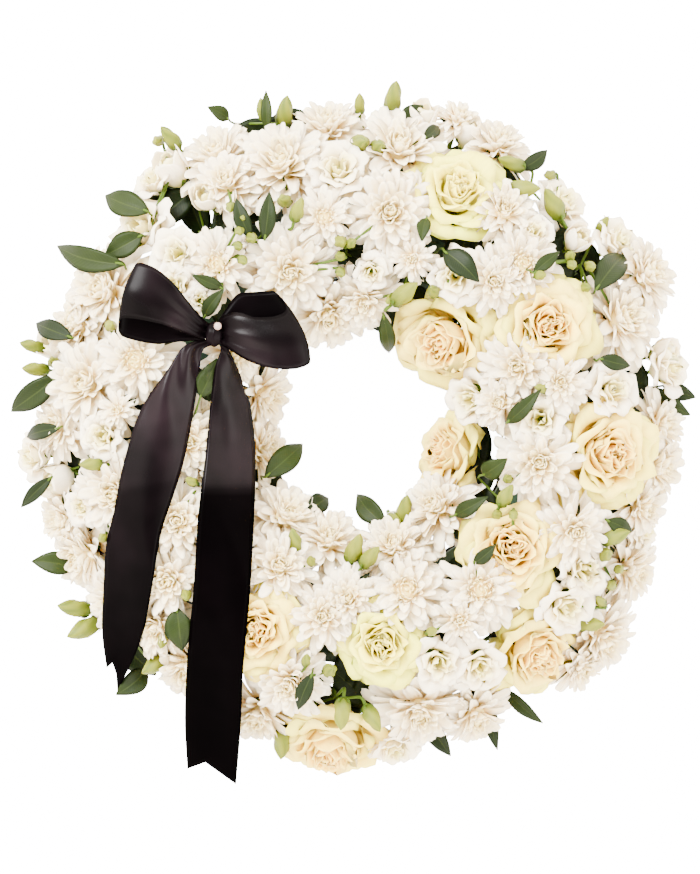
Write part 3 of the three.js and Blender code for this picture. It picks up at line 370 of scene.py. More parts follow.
# Petals: root to blade along the petal, edge colour at its sides, heart colour in the middle
# of the bloom, streaks that run lengthwise
petalGroup, made = newGroup(
    "PetalSurface", ("Root", "Blade", "Edge", "Heart"),
    (("Color", "NodeSocketColor"), ("Normal", "NodeSocketVector")),
)
source = made.new("NodeGroupInput")
along, across, own, depth = (made.value(word) for word in ("along", "across", "own", "depth"))
side = made.maths("ABSOLUTE", across)
rootShare = made.maths("SUBTRACT", 1.0, made.maths("MULTIPLY", along, 1.9), clamp=True)
edgeShare = made.maths("MULTIPLY", made.maths("POWER", side, 3.0), made.maths("MULTIPLY", along, depth))
edgeShare = made.maths("MULTIPLY", edgeShare, made.maths("ADD", 0.25, own), clamp=True)
heartShare = made.maths("POWER", made.maths("SUBTRACT", 1.0, depth, clamp=True), 1.6)
streakPlace = made.new("ShaderNodeCombineXYZ", {
    0: made.maths("MULTIPLY", across, 6.0), 1: made.maths("MULTIPLY", along, 1.6),
    2: made.maths("MULTIPLY", own, 40.0)}).outputs[0]
streak = made.new("ShaderNodeTexNoise", {"Vector": streakPlace, "Scale": 2.2, "Detail": 3.0}).outputs["Fac"]
colour = made.mix(edgeShare, source.outputs["Blade"], source.outputs["Edge"])
outerShare = made.maths("MULTIPLY", made.maths("POWER", depth, 6.0), made.maths("MULTIPLY", own, 0.6))
colour = made.mix(outerShare, colour, source.outputs["Edge"])
colour = made.mix(rootShare, colour, source.outputs["Root"])
colour = made.mix(made.maths("MULTIPLY", heartShare, 0.85), colour, source.outputs["Heart"])
tone = made.maths("ADD", made.maths("MULTIPLY", streak, 0.16), made.maths("MULTIPLY", own, 0.05))
tone = made.maths("ADD", tone, 0.88)
toneColour = made.new("ShaderNodeCombineColor", {0: tone, 1: tone, 2: tone}).outputs[0]
colour = made.mix(1.0, colour, toneColour, blend="MULTIPLY")
bump = made.new("ShaderNodeBump", {"Strength": 0.35, "Distance": 0.0012, "Height": streak})
made.new("NodeGroupOutput", {"Color": colour, "Normal": bump.outputs["Normal"]})

# Greens: dark to light from leaf to leaf, a pale midrib and side veins that lean to the tip
greenGroup, made = newGroup(
    "GreenSurface", ("Dark", "Light", "Vein"),
    (("Color", "NodeSocketColor"), ("Normal", "NodeSocketVector")),
)
source = made.new("NodeGroupInput")
along, across, own, depth = (made.value(word) for word in ("along", "across", "own", "depth"))
side = made.maths("ABSOLUTE", across)
lean = made.maths("SUBTRACT", made.maths("MULTIPLY", along, 62.0), made.maths("MULTIPLY", side, 9.0))
wave = made.maths("POWER", made.maths("ABSOLUTE", made.maths("SINE", lean)), 14.0)
midrib = made.maths("SUBTRACT", 1.0, made.maths("MULTIPLY", side, 11.0), clamp=True)
veins = made.maths("ADD", midrib, made.maths("MULTIPLY", wave, 0.22), clamp=True)
patch = made.new("ShaderNodeTexNoise", {
    "Vector": made.new("ShaderNodeTexCoord").outputs["Object"], "Scale": 90.0, "Detail": 2.0}).outputs["Fac"]
lightShare = made.maths("MULTIPLY", own, made.maths("ADD", patch, 0.5), clamp=True)
colour = made.mix(lightShare, source.outputs["Dark"], source.outputs["Light"])
colour = made.mix(made.maths("MULTIPLY", veins, 0.55), colour, source.outputs["Vein"])
height = made.maths("SUBTRACT", patch, veins)
bump = made.new("ShaderNodeBump", {"Strength": 0.3, "Distance": 0.0008, "Height": height})
made.new("NodeGroupOutput", {"Color": colour, "Normal": bump.outputs["Normal"]})


def newMaterial(name, **constants):
    material = bpy.data.materials.new(name)
    material.use_nodes = True
    shader = material.node_tree.nodes["Principled BSDF"]
    for word, value in constants.items():
        shader.inputs[word.replace("_", " ")].default_value = value
    return material, Nodes(material.node_tree), shader


def groupMaterial(name, group, colours, roughness, **constants):
    material, tree, shader = newMaterial(name, Roughness=roughness, **constants)
    used = tree.new("ShaderNodeGroup", node_tree=group)
    for word, colour in colours.items():
        used.inputs[word].default_value = colour4(colour)
    tree.tree.links.new(used.outputs["Color"], shader.inputs["Base Color"])
    tree.tree.links.new(used.outputs["Normal"], shader.inputs["Normal"])
    return material


def petalMaterial(word):
    look = petalColours[word]
    colours = {"Root": look["root"], "Blade": look["blade"], "Edge": look["edge"], "Heart": look["heart"]}
    return groupMaterial(word + "_petal", petalGroup, colours, look["roughness"],
                         Subsurface_Weight=0.35, Subsurface_Radius=(0.008, 0.0055, 0.004),
                         Subsurface_Scale=0.6, Specular_IOR_Level=0.2)


def greenMaterial(word):
    look = greenColours[word]
    colours = {"Dark": look["dark"], "Light": look["light"], "Vein": look["vein"]}
    return groupMaterial(word + "_green", greenGroup, colours, look["roughness"], Specular_IOR_Level=0.1)


mumPetal, rosePetal, greenRosePetal = (petalMaterial(word) for word in ("mum", "rose", "greenRose"))
lisianthusPetal, budPetal = petalMaterial("lisianthus"), petalMaterial("bud")
leafGreen, stemGreen = greenMaterial("leaf"), greenMaterial("stem")

# Painted sheen: the satin's base colour is lightened by the "depth" value along the ribbon, broken up by a
# soft noise;
# the same value also sets the coat's real gloss
satinLook = {"colour": (0.0003, 0.0002, 0.00025), "paintedSheenColour": (0.006, 0.0036, 0.0048), "roughness": 0.4,
             "weave": 2600.0, "specular": 0.0, "coat": 0.16, "coatRoughness": 0.27}
satin, tree, shader = newMaterial(
    "black_satin", Roughness=satinLook["roughness"], Specular_IOR_Level=satinLook["specular"],
    Coat_Roughness=satinLook["coatRoughness"])
objectPlace = tree.new("ShaderNodeTexCoord").outputs["Object"]
weave = tree.new("ShaderNodeTexNoise", {"Vector": objectPlace, "Scale": satinLook["weave"], "Detail": 1.0})
cloudy = tree.new("ShaderNodeTexNoise", {"Vector": objectPlace, "Scale": 22.0, "Detail": 2.0}).outputs["Fac"]
# Painted sheen: soft patches where the base colour is lightened towards the painted sheen colour
paintedSheenPatches = tree.maths("MULTIPLY", tree.maths("POWER", cloudy, 2.0), 3.0)
paintedShine = tree.maths("MULTIPLY", tree.value("depth"), paintedSheenPatches)
tint = tree.mix(paintedShine, colour4(satinLook["colour"]), colour4(satinLook["paintedSheenColour"]))
coat = tree.maths("MULTIPLY", tree.value("depth"), satinLook["coat"])
tree.tree.links.new(coat, shader.inputs["Coat Weight"])
tree.tree.links.new(tint, shader.inputs["Base Color"])
bump = tree.new("ShaderNodeBump", {"Strength": 0.08, "Distance": 0.0002, "Height": weave.outputs["Fac"]})
tree.tree.links.new(bump.outputs["Normal"], shader.inputs["Normal"])

pearlLook = {"colour": (0.26, 0.17, 0.15), "warm": (0.38, 0.27, 0.23)}
pearl, tree, shader = newMaterial("pearl", Roughness=0.22, Coat_Weight=0.25, Coat_Roughness=0.08)
lustre = tree.new("ShaderNodeTexNoise", {
    "Vector": tree.new("ShaderNodeTexCoord").outputs["Object"], "Scale": 300.0}).outputs["Fac"]
tint = tree.mix(lustre, colour4(pearlLook["colour"]), colour4(pearlLook["warm"]))
tree.tree.links.new(tint, shader.inputs["Base Color"])
steel, tree, shader = newMaterial("steel", Roughness=0.3, Metallic=1.0)
drawn = tree.new("ShaderNodeTexNoise", {
    "Vector": tree.new("ShaderNodeTexCoord").outputs["Object"], "Scale": 40.0}).outputs["Fac"]
tint = tree.mix(drawn, (0.60, 0.60, 0.60, 1), (0.72, 0.71, 0.70, 1))
tree.tree.links.new(tint, shader.inputs["Base Color"])


def grained(name, dark, light, scale, bumpDepth, roughness):
    material, tree, shader = newMaterial(name, Roughness=roughness)
    place = tree.new("ShaderNodeTexCoord").outputs["Object"]
    grain = tree.new("ShaderNodeTexNoise", {"Vector": place, "Scale": scale, "Detail": 4.0}).outputs["Fac"]
    tree.tree.links.new(tree.mix(grain, colour4(dark), colour4(light)), shader.inputs["Base Color"])
    bump = tree.new("ShaderNodeBump", {"Strength": 0.5, "Distance": bumpDepth, "Height": grain})
    tree.tree.links.new(bump.outputs["Normal"], shader.inputs["Normal"])
    return material


foamLook = grained("floral_foam", (0.006, 0.022, 0.010), (0.016, 0.045, 0.018), 900.0, 0.001, 0.95)
trayLook = grained("tray_plastic", (0.002, 0.002, 0.002), (0.005, 0.005, 0.005), 500.0, 0.0003, 0.6)
for word, material in (("foam_ring", foamLook), ("base_tray", trayLook)):
    nodes[word].data.materials.clear()
    nodes[word].data.materials.append(material)
print("materials made")

# The ribbon's line, used to keep the blooms under it too

def ribbonHeight(x, y):
    ring = np.hypot(x, y)
    inner, outer, above = ribbon["innerEdge"], ribbon["outerEdge"], ribbon["above"]
    over = domeHeight(x, y) + above
    past = domeHeight(outer, 0) + above - ribbon["pastSlope"] * (ring - outer)
    within = domeHeight(inner, 0) + above - ribbon["withinSlope"] * (inner - ring)
    return np.where(ring > outer, past, np.where(ring < inner, within, over))


# Left and right edge of each tail from the knot down, the notch of its end, levels of painted sheen down it
# (which also set its coat gloss), and its crumple
tails = [
    {"edges": [[-127, 77, -119, 72], [-144, 70, -128, 66], [-157, 51, -131, 47], [-180, 17, -135, 19],
               [-195, -30, -143, -24], [-203, -69, -153, -57], [-210, -97, -163, -88],
               [-213, -136, -172, -140], [-215, -172, -182, -180], [-212, -203, -203, -224]],
     "notch": [-204, -196], "sheen": [0.1, 0.5, 0.85, 0.45, 0.25, 0.04],
     "crumple": 2.2},
    {"edges": [[-117, 74, -110, 76], [-113, 68, -97, 48], [-118, 51, -93, 33], [-122, 20, -88, 20],
               [-126, -22, -84, -22], [-132, -75, -85, -75], [-136, -137, -88, -136],
               [-142, -196, -94, -200], [-145, -247, -97, -252], [-144, -291, -102, -304]],
     "notch": [-125, -283], "sheen": [0.1, 0.5, 0.65, 0.6, 0.05, 0.03],
     "crumple": 0.5},
]


def underRibbon(places):
    # Whatever lies under a tail is pressed down to just below it
    x, y = places[..., 0], places[..., 1]
    for tail in tails:
        edges = np.array(tail["edges"], float)[::-1]
        left = np.interp(y, edges[:, 1], edges[:, 0])
        right = np.interp(y, edges[:, 3], edges[:, 2])
        lengthwise = (y > edges[:, 1].min() - ribbon["beyond"]) & (y < ribbon["knotLine"])
        inside = lengthwise & (x > left - ribbon["aside"]) & (x < right + ribbon["aside"])
        pressed = np.minimum(places[..., 2], ribbonHeight(x, y) - ribbon["under"])
        places[..., 2] = np.where(inside, pressed, places[..., 2])
    return places


# Blooms

rng = np.random.default_rng(11)
blooms = []
kinds = {"rose": [[rose] for rose in roses], "mum_spray": mumSprays, "lisianthus": lisianthusStems}
for kind, lists in kinds.items():
    for i, stem in enumerate(lists):
        for x, y, size, *rest in stem:
            cup = bool(rest)
            centre, axis, outward = seatAt(x, y, size / 2, 0.1 * size if cup else 0)
            blooms.append({"node": f"{kind}_{i + 1:02d}", "kind": kind, "place": (x, y), "radius": size / 2,
                           "cup": cup, "centre": centre, "axis": axis, "outward": outward})
# Petals of neighbours run "loose" times as far as the plane between them, and a bloom opens
# "spread" times as wide as its solid where nothing is beside it; "lift" turns it up a little
room = {"loose": 1.4, "rim": 1.0, "outerEdge": 232, "innerEdge": 106, "lift": 0.4,
        "spread": {"mum_spray": 1.38, "rose": 1.08, "lisianthus": 1.24}}
for bloom in blooms:
    planes = []
    for other in blooms:
        if other["node"] == bloom["node"]:
            continue
        between = other["centre"] - bloom["centre"]
        apart = np.linalg.norm(between)
        if apart < bloom["radius"] + other["radius"]:
            share = bloom["radius"] / (bloom["radius"] + other["radius"])
            planes.append([*(between / apart), apart * share * room["loose"]])
    ring = np.hypot(*bloom["place"])
    if ring + bloom["radius"] > room["outerEdge"]:
        planes.append([*bloom["outward"], bloom["radius"] * room["rim"]])
    if ring - bloom["radius"] < room["innerEdge"]:
        planes.append([*-bloom["outward"], bloom["radius"] * room["rim"]])
    bloom["planes"] = np.array(planes).reshape(-1, 4)
    bloom["axis"] = unit(bloom["axis"] + up * room["lift"])


def placed(bloom, local, spin):
    # The bloom's own shape, turned to face its way, and drawn in where a neighbour is in the way
    cosine, sine = math.cos(spin), math.sin(spin)
    turned = np.stack([local[..., 0] * cosine - local[..., 1] * sine,
                       local[..., 0] * sine + local[..., 1] * cosine, local[..., 2]], axis=-1)
    out = turned @ basisOf(bloom["axis"]) * bloom["radius"] * room["spread"][bloom["kind"]]
    for *normal, offset in bloom["planes"]:
        towards = out @ np.array(normal)
        out = out * np.minimum(1, offset / np.maximum(towards, 1e-6))[..., None]
    return underRibbon(out + bloom["centre"])


# Lengths are shares of the bloom's radius, angles are degrees from level, lists run from heart to rim
mumLook = {
    "counts": ([15, 22, 31, 38], [60, 84, 112, 132]),  # petals for each radius in mm
    "length": [0.20, 0.36, 0.56, 0.72, 0.78], "half": [0.05, 0.085, 0.108, 0.12, 0.125],
    "rise": [88, 72, 52, 26, -4], "fall": [125, 84, 34, -6, -46], "thick": 0.5,
    "footOut": ([0, 1], [0.04, 0.24]), "footHigh": ([0, 0.4, 1], [0.10, 0.02, -0.26]),
    "rows": [0, 0.2, 0.45, 0.7, 0.9, 1.0], "columns": [-1, -0.4, 0.4, 1.0],
    "profile": [0.42, 0.8, 1, 1, 0.82, 0.34], "channel": 0.45, "core": 0.3,
    "eye": {"share": 0.42, "length": 0.15, "half": 0.05, "out": 0.27, "high": 0.16},
}
outwardStep = [0, 0.25, 0.5, 0.75, 1]


def mumPetals(bloom, parts):
    # Straps: each centreline leaves the core at its own slope and bends to another one;
    # width = half * profile(t), channelled by channel * width * x^2
    radius = bloom["radius"]
    eyed = bloom["place"] in eyedMums
    count = int(np.interp(radius, *mumLook["counts"]))
    step = np.arange(count)
    s = ((step + 0.5) / count) ** 0.8
    table = lambda word: np.interp(s, outwardStep, mumLook[word])
    length = table("length") * rng.uniform(0.86, 1.1, count)
    half = table("half") * rng.uniform(0.85, 1.12, count)
    rise = np.radians(table("rise") + rng.normal(0, 7, count))
    fall = np.radians(table("fall") + rng.normal(0, 13, count))
    footOut = np.interp(s, *mumLook["footOut"])
    footHigh = np.interp(s, *mumLook["footHigh"])
    if eyed:  # the inner petals become short florets, spread over a raised eye
        eye = mumLook["eye"]
        inner = s < eye["share"]
        length = np.where(inner, eye["length"], length)
        half = np.where(inner, eye["half"], half)
        footOut = np.where(inner, eye["out"] * np.sqrt(s / eye["share"]), footOut)
        footHigh = np.where(inner, eye["high"], footHigh)
    t, x = np.array(mumLook["rows"]), np.array(mumLook["columns"])
    slope = rise[:, None] + (fall - rise)[:, None] * t[None] ** 1.25
    middle = (slope[:, 1:] + slope[:, :-1]) / 2
    gain = np.diff(t)[None] * length[:, None]
    run = np.concatenate([np.zeros((count, 1)), np.cumsum(np.cos(middle) * gain, axis=1)], axis=1)
    climb = np.concatenate([np.zeros((count, 1)), np.cumsum(np.sin(middle) * gain, axis=1)], axis=1)
    out, high = footOut[:, None] + run, footHigh[:, None] + climb
    turn = step * goldenTurn + rng.normal(0, 0.12, count)
    radial = np.stack([np.cos(turn), np.sin(turn), np.zeros(count)], axis=-1)[:, None]
    tangent = np.stack([-np.sin(turn), np.cos(turn), np.zeros(count)], axis=-1)[:, None]
    centre = radial * out[..., None] + up * high[..., None]
    normal = -radial * np.sin(slope)[..., None] + up * np.cos(slope)[..., None]
    lean = rng.normal(0, 0.3, count)[:, None, None] * (0.4 + t[None, :, None])
    across = tangent * np.cos(lean) + normal * np.sin(lean)
    normal = normal * np.cos(lean) - tangent * np.sin(lean)
    wide = half[:, None] * np.array(mumLook["profile"])[None]
    sway = (rng.normal(0, 0.10, count)[:, None] * t[None] ** 2 * length[:, None])[..., None, None]
    grid = centre[:, :, None] + across[:, :, None] * (wide[..., None] * x)[..., None]
    grid = grid + tangent[:, :, None] * sway
    grid = grid + normal[:, :, None] * (mumLook["channel"] * wide[..., None] * x ** 2)[..., None]
    rings = bladeRings(placed(bloom, grid, rng.uniform(0, 6.28)), mumLook["thick"])
    values = bladeValues(np.broadcast_to(x, grid.shape[:3]))
    parts.add(rings, petalSlot, t[None, :, None], values, rng.uniform(0, 1, count), np.clip(s * 1.5, 0, 1))
    # Core under the petals, radius = core * sin(angle)
    angle = np.linspace(0.1, np.pi - 0.1, 8)
    core = mumLook["core"] * radius
    path = bloom["centre"] - bloom["axis"] * (core * np.cos(angle))[:, None]
    parts.add(tubeRings(path, core * np.sin(angle), 12), petalSlot, depth=0.1)


def cupPetals(bloom, parts, look):
    # Wrapped petals: radius from foot over belly to rim, height from foot to rim,
    # the lip rolled outwards and down; the angle runs across, one edge tucked inside the next
    count = look["count"]
    step = np.arange(count)
    s = (step + 0.5) / count
    table = lambda word: np.interp(s, outwardStep, look[word])
    t = np.linspace(0, 1, look["rows"])
    x = np.linspace(-1, 1, look["columns"])
    wave = lambda low, high: rng.uniform(low, high, count)[:, None, None]
    deep = lambda values: values[:, None, None]
    foot, belly = deep(0.04 + 0.12 * s), deep(table("belly"))
    rim = deep(table("rim") * rng.uniform(0.94, 1.05, count))
    lengthwise, crosswise = t[None, :, None], x[None, None]
    toBelly = np.sin(np.pi / 2 * np.minimum(lengthwise / 0.6, 1))
    toRim = np.maximum(0, (lengthwise - 0.6) / 0.4) ** 1.4
    out = foot + (belly - foot) * toBelly + (rim - belly) * toRim
    lowest, highest = deep(table("footHigh")), deep(table("rimHigh") + rng.normal(0, 0.02, count))
    drop = deep(table("drop"))
    high = lowest + (highest - lowest) * lengthwise ** 0.85 * (1 - drop * crosswise ** 2 * lengthwise)
    lip = np.maximum(0, (lengthwise - 0.74) / 0.26)
    roll = deep(table("roll")) * (0.6 + 0.8 * wave(0, 1)) * (1 - 0.35 * np.abs(crosswise))
    out = out + roll * lip ** 1.3 + 0.035 * crosswise * lengthwise
    high = high - 0.9 * roll * lip ** 2
    ruffle = look["ruffle"] * lengthwise ** 3
    out = out + ruffle * np.sin(crosswise * wave(3, 7) + wave(0, 6.3))
    high = high + ruffle * np.sin(crosswise * wave(4, 9) + wave(0, 6.3))
    out = out + look["point"] * np.exp(-(crosswise / 0.25) ** 2) * lip * deep(s)
    spread = deep(table("spread")) * (0.42 + 0.58 * np.sin(np.pi * (0.1 + 0.74 * lengthwise)))
    turn = deep(step * goldenTurn + rng.normal(0, look["uneven"], count)) + crosswise * spread
    grid = np.stack([out * np.cos(turn), out * np.sin(turn), np.broadcast_to(high, turn.shape)], axis=-1)
    grid = grid[:, :, ::-1]
    rings = bladeRings(placed(bloom, grid, rng.uniform(0, 6.28)), look["thick"])
    values = bladeValues(np.broadcast_to(x, grid.shape[:3]))
    parts.add(rings, petalSlot, t[None, :, None], values, rng.uniform(0, 1, count), np.clip(s * 1.25, 0, 1))


roseLook = {
    "count": 32, "rows": 11, "columns": 11, "thick": 0.7, "ruffle": 0.075, "point": 0.07, "uneven": 0.35,
    "belly": [0.09, 0.22, 0.40, 0.62, 0.78], "rim": [0.05, 0.19, 0.40, 0.70, 0.93],
    "footHigh": [-0.3, -0.4, -0.5, -0.6, -0.66], "rimHigh": [0.50, 0.54, 0.47, 0.32, 0.10],
    "drop": [0.05, 0.1, 0.18, 0.26, 0.32], "roll": [0.0, 0.03, 0.09, 0.18, 0.24],
    "spread": [2.3, 1.75, 1.35, 1.15, 1.0],
}
lisianthusLook = {
    "count": 14, "rows": 8, "columns": 9, "thick": 0.5, "ruffle": 0.07, "point": 0.0, "uneven": 0.2,
    "belly": [0.16, 0.28, 0.40, 0.52, 0.62], "rim": [0.10, 0.34, 0.56, 0.78, 0.94],
    "footHigh": [-0.5, -0.6, -0.68, -0.72, -0.74], "rimHigh": [0.36, 0.38, 0.36, 0.26, 0.08],
    "drop": [0.1, 0.15, 0.2, 0.24, 0.28], "roll": [0.02, 0.05, 0.09, 0.13, 0.16],
    "spread": [1.5, 1.2, 1.05, 0.95, 0.9],
}
cupLook = {
    "count": 8, "rows": 10, "columns": 9, "thick": 0.5, "ruffle": 0.03, "point": 0.02, "uneven": 0.1,
    "belly": [0.30, 0.42, 0.52, 0.60, 0.66], "rim": [0.12, 0.26, 0.38, 0.50, 0.58],
    "footHigh": [-0.8, -0.85, -0.9, -0.93, -0.95], "rimHigh": [0.50, 0.56, 0.62, 0.68, 0.70],
    "drop": [0.1, 0.12, 0.14, 0.16, 0.18], "roll": [0.0, 0.0, 0.03, 0.06, 0.08],
    "spread": [1.5, 1.3, 1.15, 1.1, 1.05],
}
stemRadius = {"rose": 2.8, "mum_spray": 2.2, "lisianthus": 1.8, "leaf_spray": 1.8}


def addStem(parts, fromPlace, toPlace, radius):
    middle = (fromPlace + toPlace) / 2 + np.array([0, 0, -3.0])
    path = splinePath([fromPlace, middle, toPlace], 7)
    parts.add(tubeRings(path, radius, 8), stemSlot, own=0.4)


def calyxBlades(parts, centre, axis, radius, foot, reach, count):
    # Narrow pointed sepals that hug the underside: out by reach * sin(t * 90 degrees), up by t^1.6
    side, other, _ = basisOf(axis)
    turn = np.arange(count) * 2 * np.pi / count + rng.uniform(0, 6)
    way = (np.cos(turn)[:, None] * side + np.sin(turn)[:, None] * other)[:, None, None]
    tangent = (-np.sin(turn)[:, None] * side + np.cos(turn)[:, None] * other)[:, None, None]
    t = np.linspace(0, 1, 6)[None, :, None, None]
    x = np.linspace(-1, 1, 4)[None, None, :, None]
    wide = 0.26 * radius * (np.sin(np.pi * np.minimum(t * 0.85 + 0.12, 1)) + 0.03)
    out = radius * (0.1 + reach * np.sin(t * np.pi / 2))
    high = foot + 0.75 * radius * t ** 1.6
    grid = centre + way * (out - 0.1 * wide * x ** 2) + axis * high + tangent * wide * x
    parts.add(bladeRings(grid[:, :, ::-1], 0.5), stemSlot, own=rng.uniform(0.3, 0.9, count))


budLook = {"rows": 11, "sides": 16, "ridge": 0.12, "twist": 2.2, "girth": 0.47, "leastGirth": 8,
           "profile": ([0, 0.1, 0.3, 0.5, 0.72, 0.88, 1], [0.44, 0.78, 1, 0.98, 0.74, 0.44, 0.05]),
           "lyingTilt": 28, "uprightTilt": 75}


def addBud(parts, centre, axis, length, root):
    # Body: radius = girth/2 * profile(t) * (1 + ridge * cos(4 (angle - twist t))), closed by small caps
    girth = max(budLook["leastGirth"], length * budLook["girth"])
    side, other, _ = basisOf(axis)
    t = np.linspace(0, 1, budLook["rows"])
    profile = np.interp(t, *budLook["profile"])
    turn = np.linspace(0, 2 * np.pi, budLook["sides"], endpoint=False)
    ridge = 1 + budLook["ridge"] * np.cos(4 * (turn[None] - budLook["twist"] * t[:, None]))
    radius = girth / 2 * profile[:, None] * ridge
    ring = radius[..., None] * (np.cos(turn)[:, None] * side - np.sin(turn)[:, None] * other)
    body = centre + axis * (length * (t - 0.5))[:, None, None] + ring
    groove = np.sin(2 * (turn[None] - budLook["twist"] * t[:, None]))[None]
    parts.add(body[None], budSlot, t[None, :, None], groove, rng.uniform(0, 1), 0.9)
    calyxBlades(parts, centre - axis * 0.5 * length, axis, girth * 0.62, 0.0, 0.75, 5)
    foot = centre - axis * 0.46 * length
    bend = foot - axis * 0.35 * length
    path = splinePath([foot, bend, (bend + root) / 2 + up * 2, root], 10)
    parts.add(tubeRings(path, np.linspace(1.5, 1.1, 10), 8), stemSlot, own=0.8)


leafLook = {"rows": 11, "columns": 7, "thick": 0.5, "fold": 0.28, "arch": 0.1, "stalk": 1.0}


def addLeaf(parts, foot, tip, width, root, slot, tone, arch=leafLook["arch"], roll=0.0, dip=0):
    # Blade: half-width = width/2 * sin(pi t^0.82)^0.85, the middle arched by sin(pi t), the edges
    # raised by fold * |x|^1.3 and waved; the stalk first goes "dip" down, under the blooms
    way = tip - foot
    length = np.linalg.norm(way)
    way = way / length
    flat = unit(np.cross(up, way))
    rise = np.cross(way, flat)
    flat, rise = flat * math.cos(roll) + rise * math.sin(roll), rise * math.cos(roll) - flat * math.sin(roll)
    t = np.linspace(0, 1, leafLook["rows"])
    x = np.linspace(-1, 1, leafLook["columns"])
    wide = width / 2 * (np.sin(np.pi * np.clip(t, 0.015, 0.985) ** 0.82) ** 0.85)
    sway = 0.05 * length * np.sin(np.pi * t) * rng.uniform(-1, 1)
    edge = leafLook["fold"] * wide[:, None] * np.abs(x) ** 1.3
    ripple = 0.05 * wide[:, None] * np.abs(x) * np.sin(t[:, None] * 17 + np.sign(x) + rng.uniform(0, 6))
    middle = foot + way * (t * length)[:, None] + rise * (arch * length * np.sin(np.pi * t))[:, None]
    grid = (middle + flat * sway[:, None])[:, None] + flat * (wide[:, None] * x)[..., None]
    grid = (grid + rise * (edge + ripple)[..., None])[None]
    rings = bladeRings(underRibbon(grid[:, :, ::-1].copy()), leafLook["thick"])
    values = bladeValues(np.broadcast_to(x, grid.shape[:3]))
    parts.add(rings, slot, t[None, :, None], values, tone)
    below = foot - way * 5 - up * dip
    points = [middle[1], foot, below, (below + root) / 2 - up * 3, root] if dip else [middle[1], foot, root]
    parts.add(tubeRings(splinePath(points, 9), leafLook["stalk"], 6), stemSlot, own=0.5)


# Small buds that stand up between the blooms: x, y and length
smallBuds = [
    [-95, 180, 18], [-97, 167, 14], [-98, 154, 12], [-94, 142, 12], [-3, 157, 14], [-13, 146, 14],
    [-12, 132, 14], [30, 110, 16], [166, 218, 18], [182, 147, 14], [183, 139, 12], [156, 130, 14],
    [156, 35, 16], [-206, 88, 20], [-213, -91, 14], [-138, -43, 14], [-163, -179, 18], [-37, -110, 14],
    [34, -76, 20], [128, -41, 14], [133, -72, 12], [224, -118, 16], [208, -145, 16], [65, -169, 14],
    [-41, -193, 15], [-105, 187, 14],
]
# Single leaves between the blooms: foot, tip and width
smallLeaves = [[-111, 119, -137, 130, 11], [-127, 95, -110, 118, 13], [-130, 28, -116, 60, 19],
               [58, 247, 71, 259, 12], [150, 132, 172, 150, 12], [100, -112, 118, -96, 12]]


def hostOf(centre):
    # The bloom nearest to a place, in radii, with roses passed over where another is about as near
    away = [np.linalg.norm(b["centre"] - centre) / b["radius"] + (0.4 if b["kind"] == "rose" else 0)
            for b in blooms]
    return blooms[int(np.argmin(away))]


def uprightBud(x, y, length, tilt):
    axis = unit(polar(rng.uniform(0, 360)) * math.cos(tilt) + up * math.sin(tilt))
    centre = onDome(x, y, 9 - length / 2)
    host = hostOf(centre)
    root = host["centre"] * 0.75 + centre * 0.25
    allBuds.setdefault(host["node"], []).append((centre, axis, length, root))


allBuds, allLeaves = {}, {}
for x, y, tipX, tipY, width in smallLeaves:
    host = hostOf(onDome(x, y, 0))
    leaf = (onDome(x, y, 0), onDome(tipX, tipY, 8), width, host["centre"], 0.5)
    allLeaves.setdefault(host["node"], []).append(leaf)
# Dark leaves low between the stems close the gaps under the blooms: even over the ring's area
lowLeaves = {"count": 96, "inner": 118, "outer": 240, "level": 0.48, "length": 50, "width": 27,
             "step": 137.508, "tipInner": 122, "tipOuter": 252, "tone": 0.15, "gapLevel": 0.42}
for k in range(lowLeaves["count"]):
    share = (k + 0.5) / lowLeaves["count"]
    ring = math.sqrt(lowLeaves["inner"] ** 2 * (1 - share) + lowLeaves["outer"] ** 2 * share)
    foot = polar(lowLeaves["step"] * k) * ring
    tip = foot + polar(rng.uniform(0, 360)) * lowLeaves["length"]
    reach = np.hypot(tip[0], tip[1])
    tip *= np.clip(reach, lowLeaves["tipInner"], lowLeaves["tipOuter"]) / reach
    foot[2] = lowLeaves["level"] * domeHeight(foot[0], foot[1])
    tip[2] = lowLeaves["level"] * domeHeight(tip[0], tip[1]) + rng.uniform(0, 8)
    leaf = (foot, tip, lowLeaves["width"], foamPoint(foot[0], foot[1]), lowLeaves["tone"])
    allLeaves.setdefault(hostOf(foot)["node"], []).append(leaf)
for x, y, length in smallBuds:
    uprightBud(x, y, length, math.radians(rng.uniform(45, 80)))
sprayLook = {"hubUnder": 40, "hubLowest": 49, "arch": 0.12, "dip": 24}
sprayPlan = []
for i, spray in enumerate(sprays):
    node = f"leaf_spray_{i + 1:02d}"
    hub = onDome(*spray["fork"], -sprayLook["hubUnder"])
    hub[2] = max(hub[2], sprayLook["hubLowest"])
    own = []
    for x, y, length, *way in spray["buds"]:
        if way:
            tilt = math.radians(budLook["lyingTilt"])
            axis = polar(way[0]) * math.cos(tilt) + up * math.sin(tilt)
            own.append((onDome(x, y, 3), axis, length, hub))
        else:
            uprightBud(x, y, length, math.radians(budLook["uprightTilt"]))
    sprayPlan.append((node, hub, own, spray))

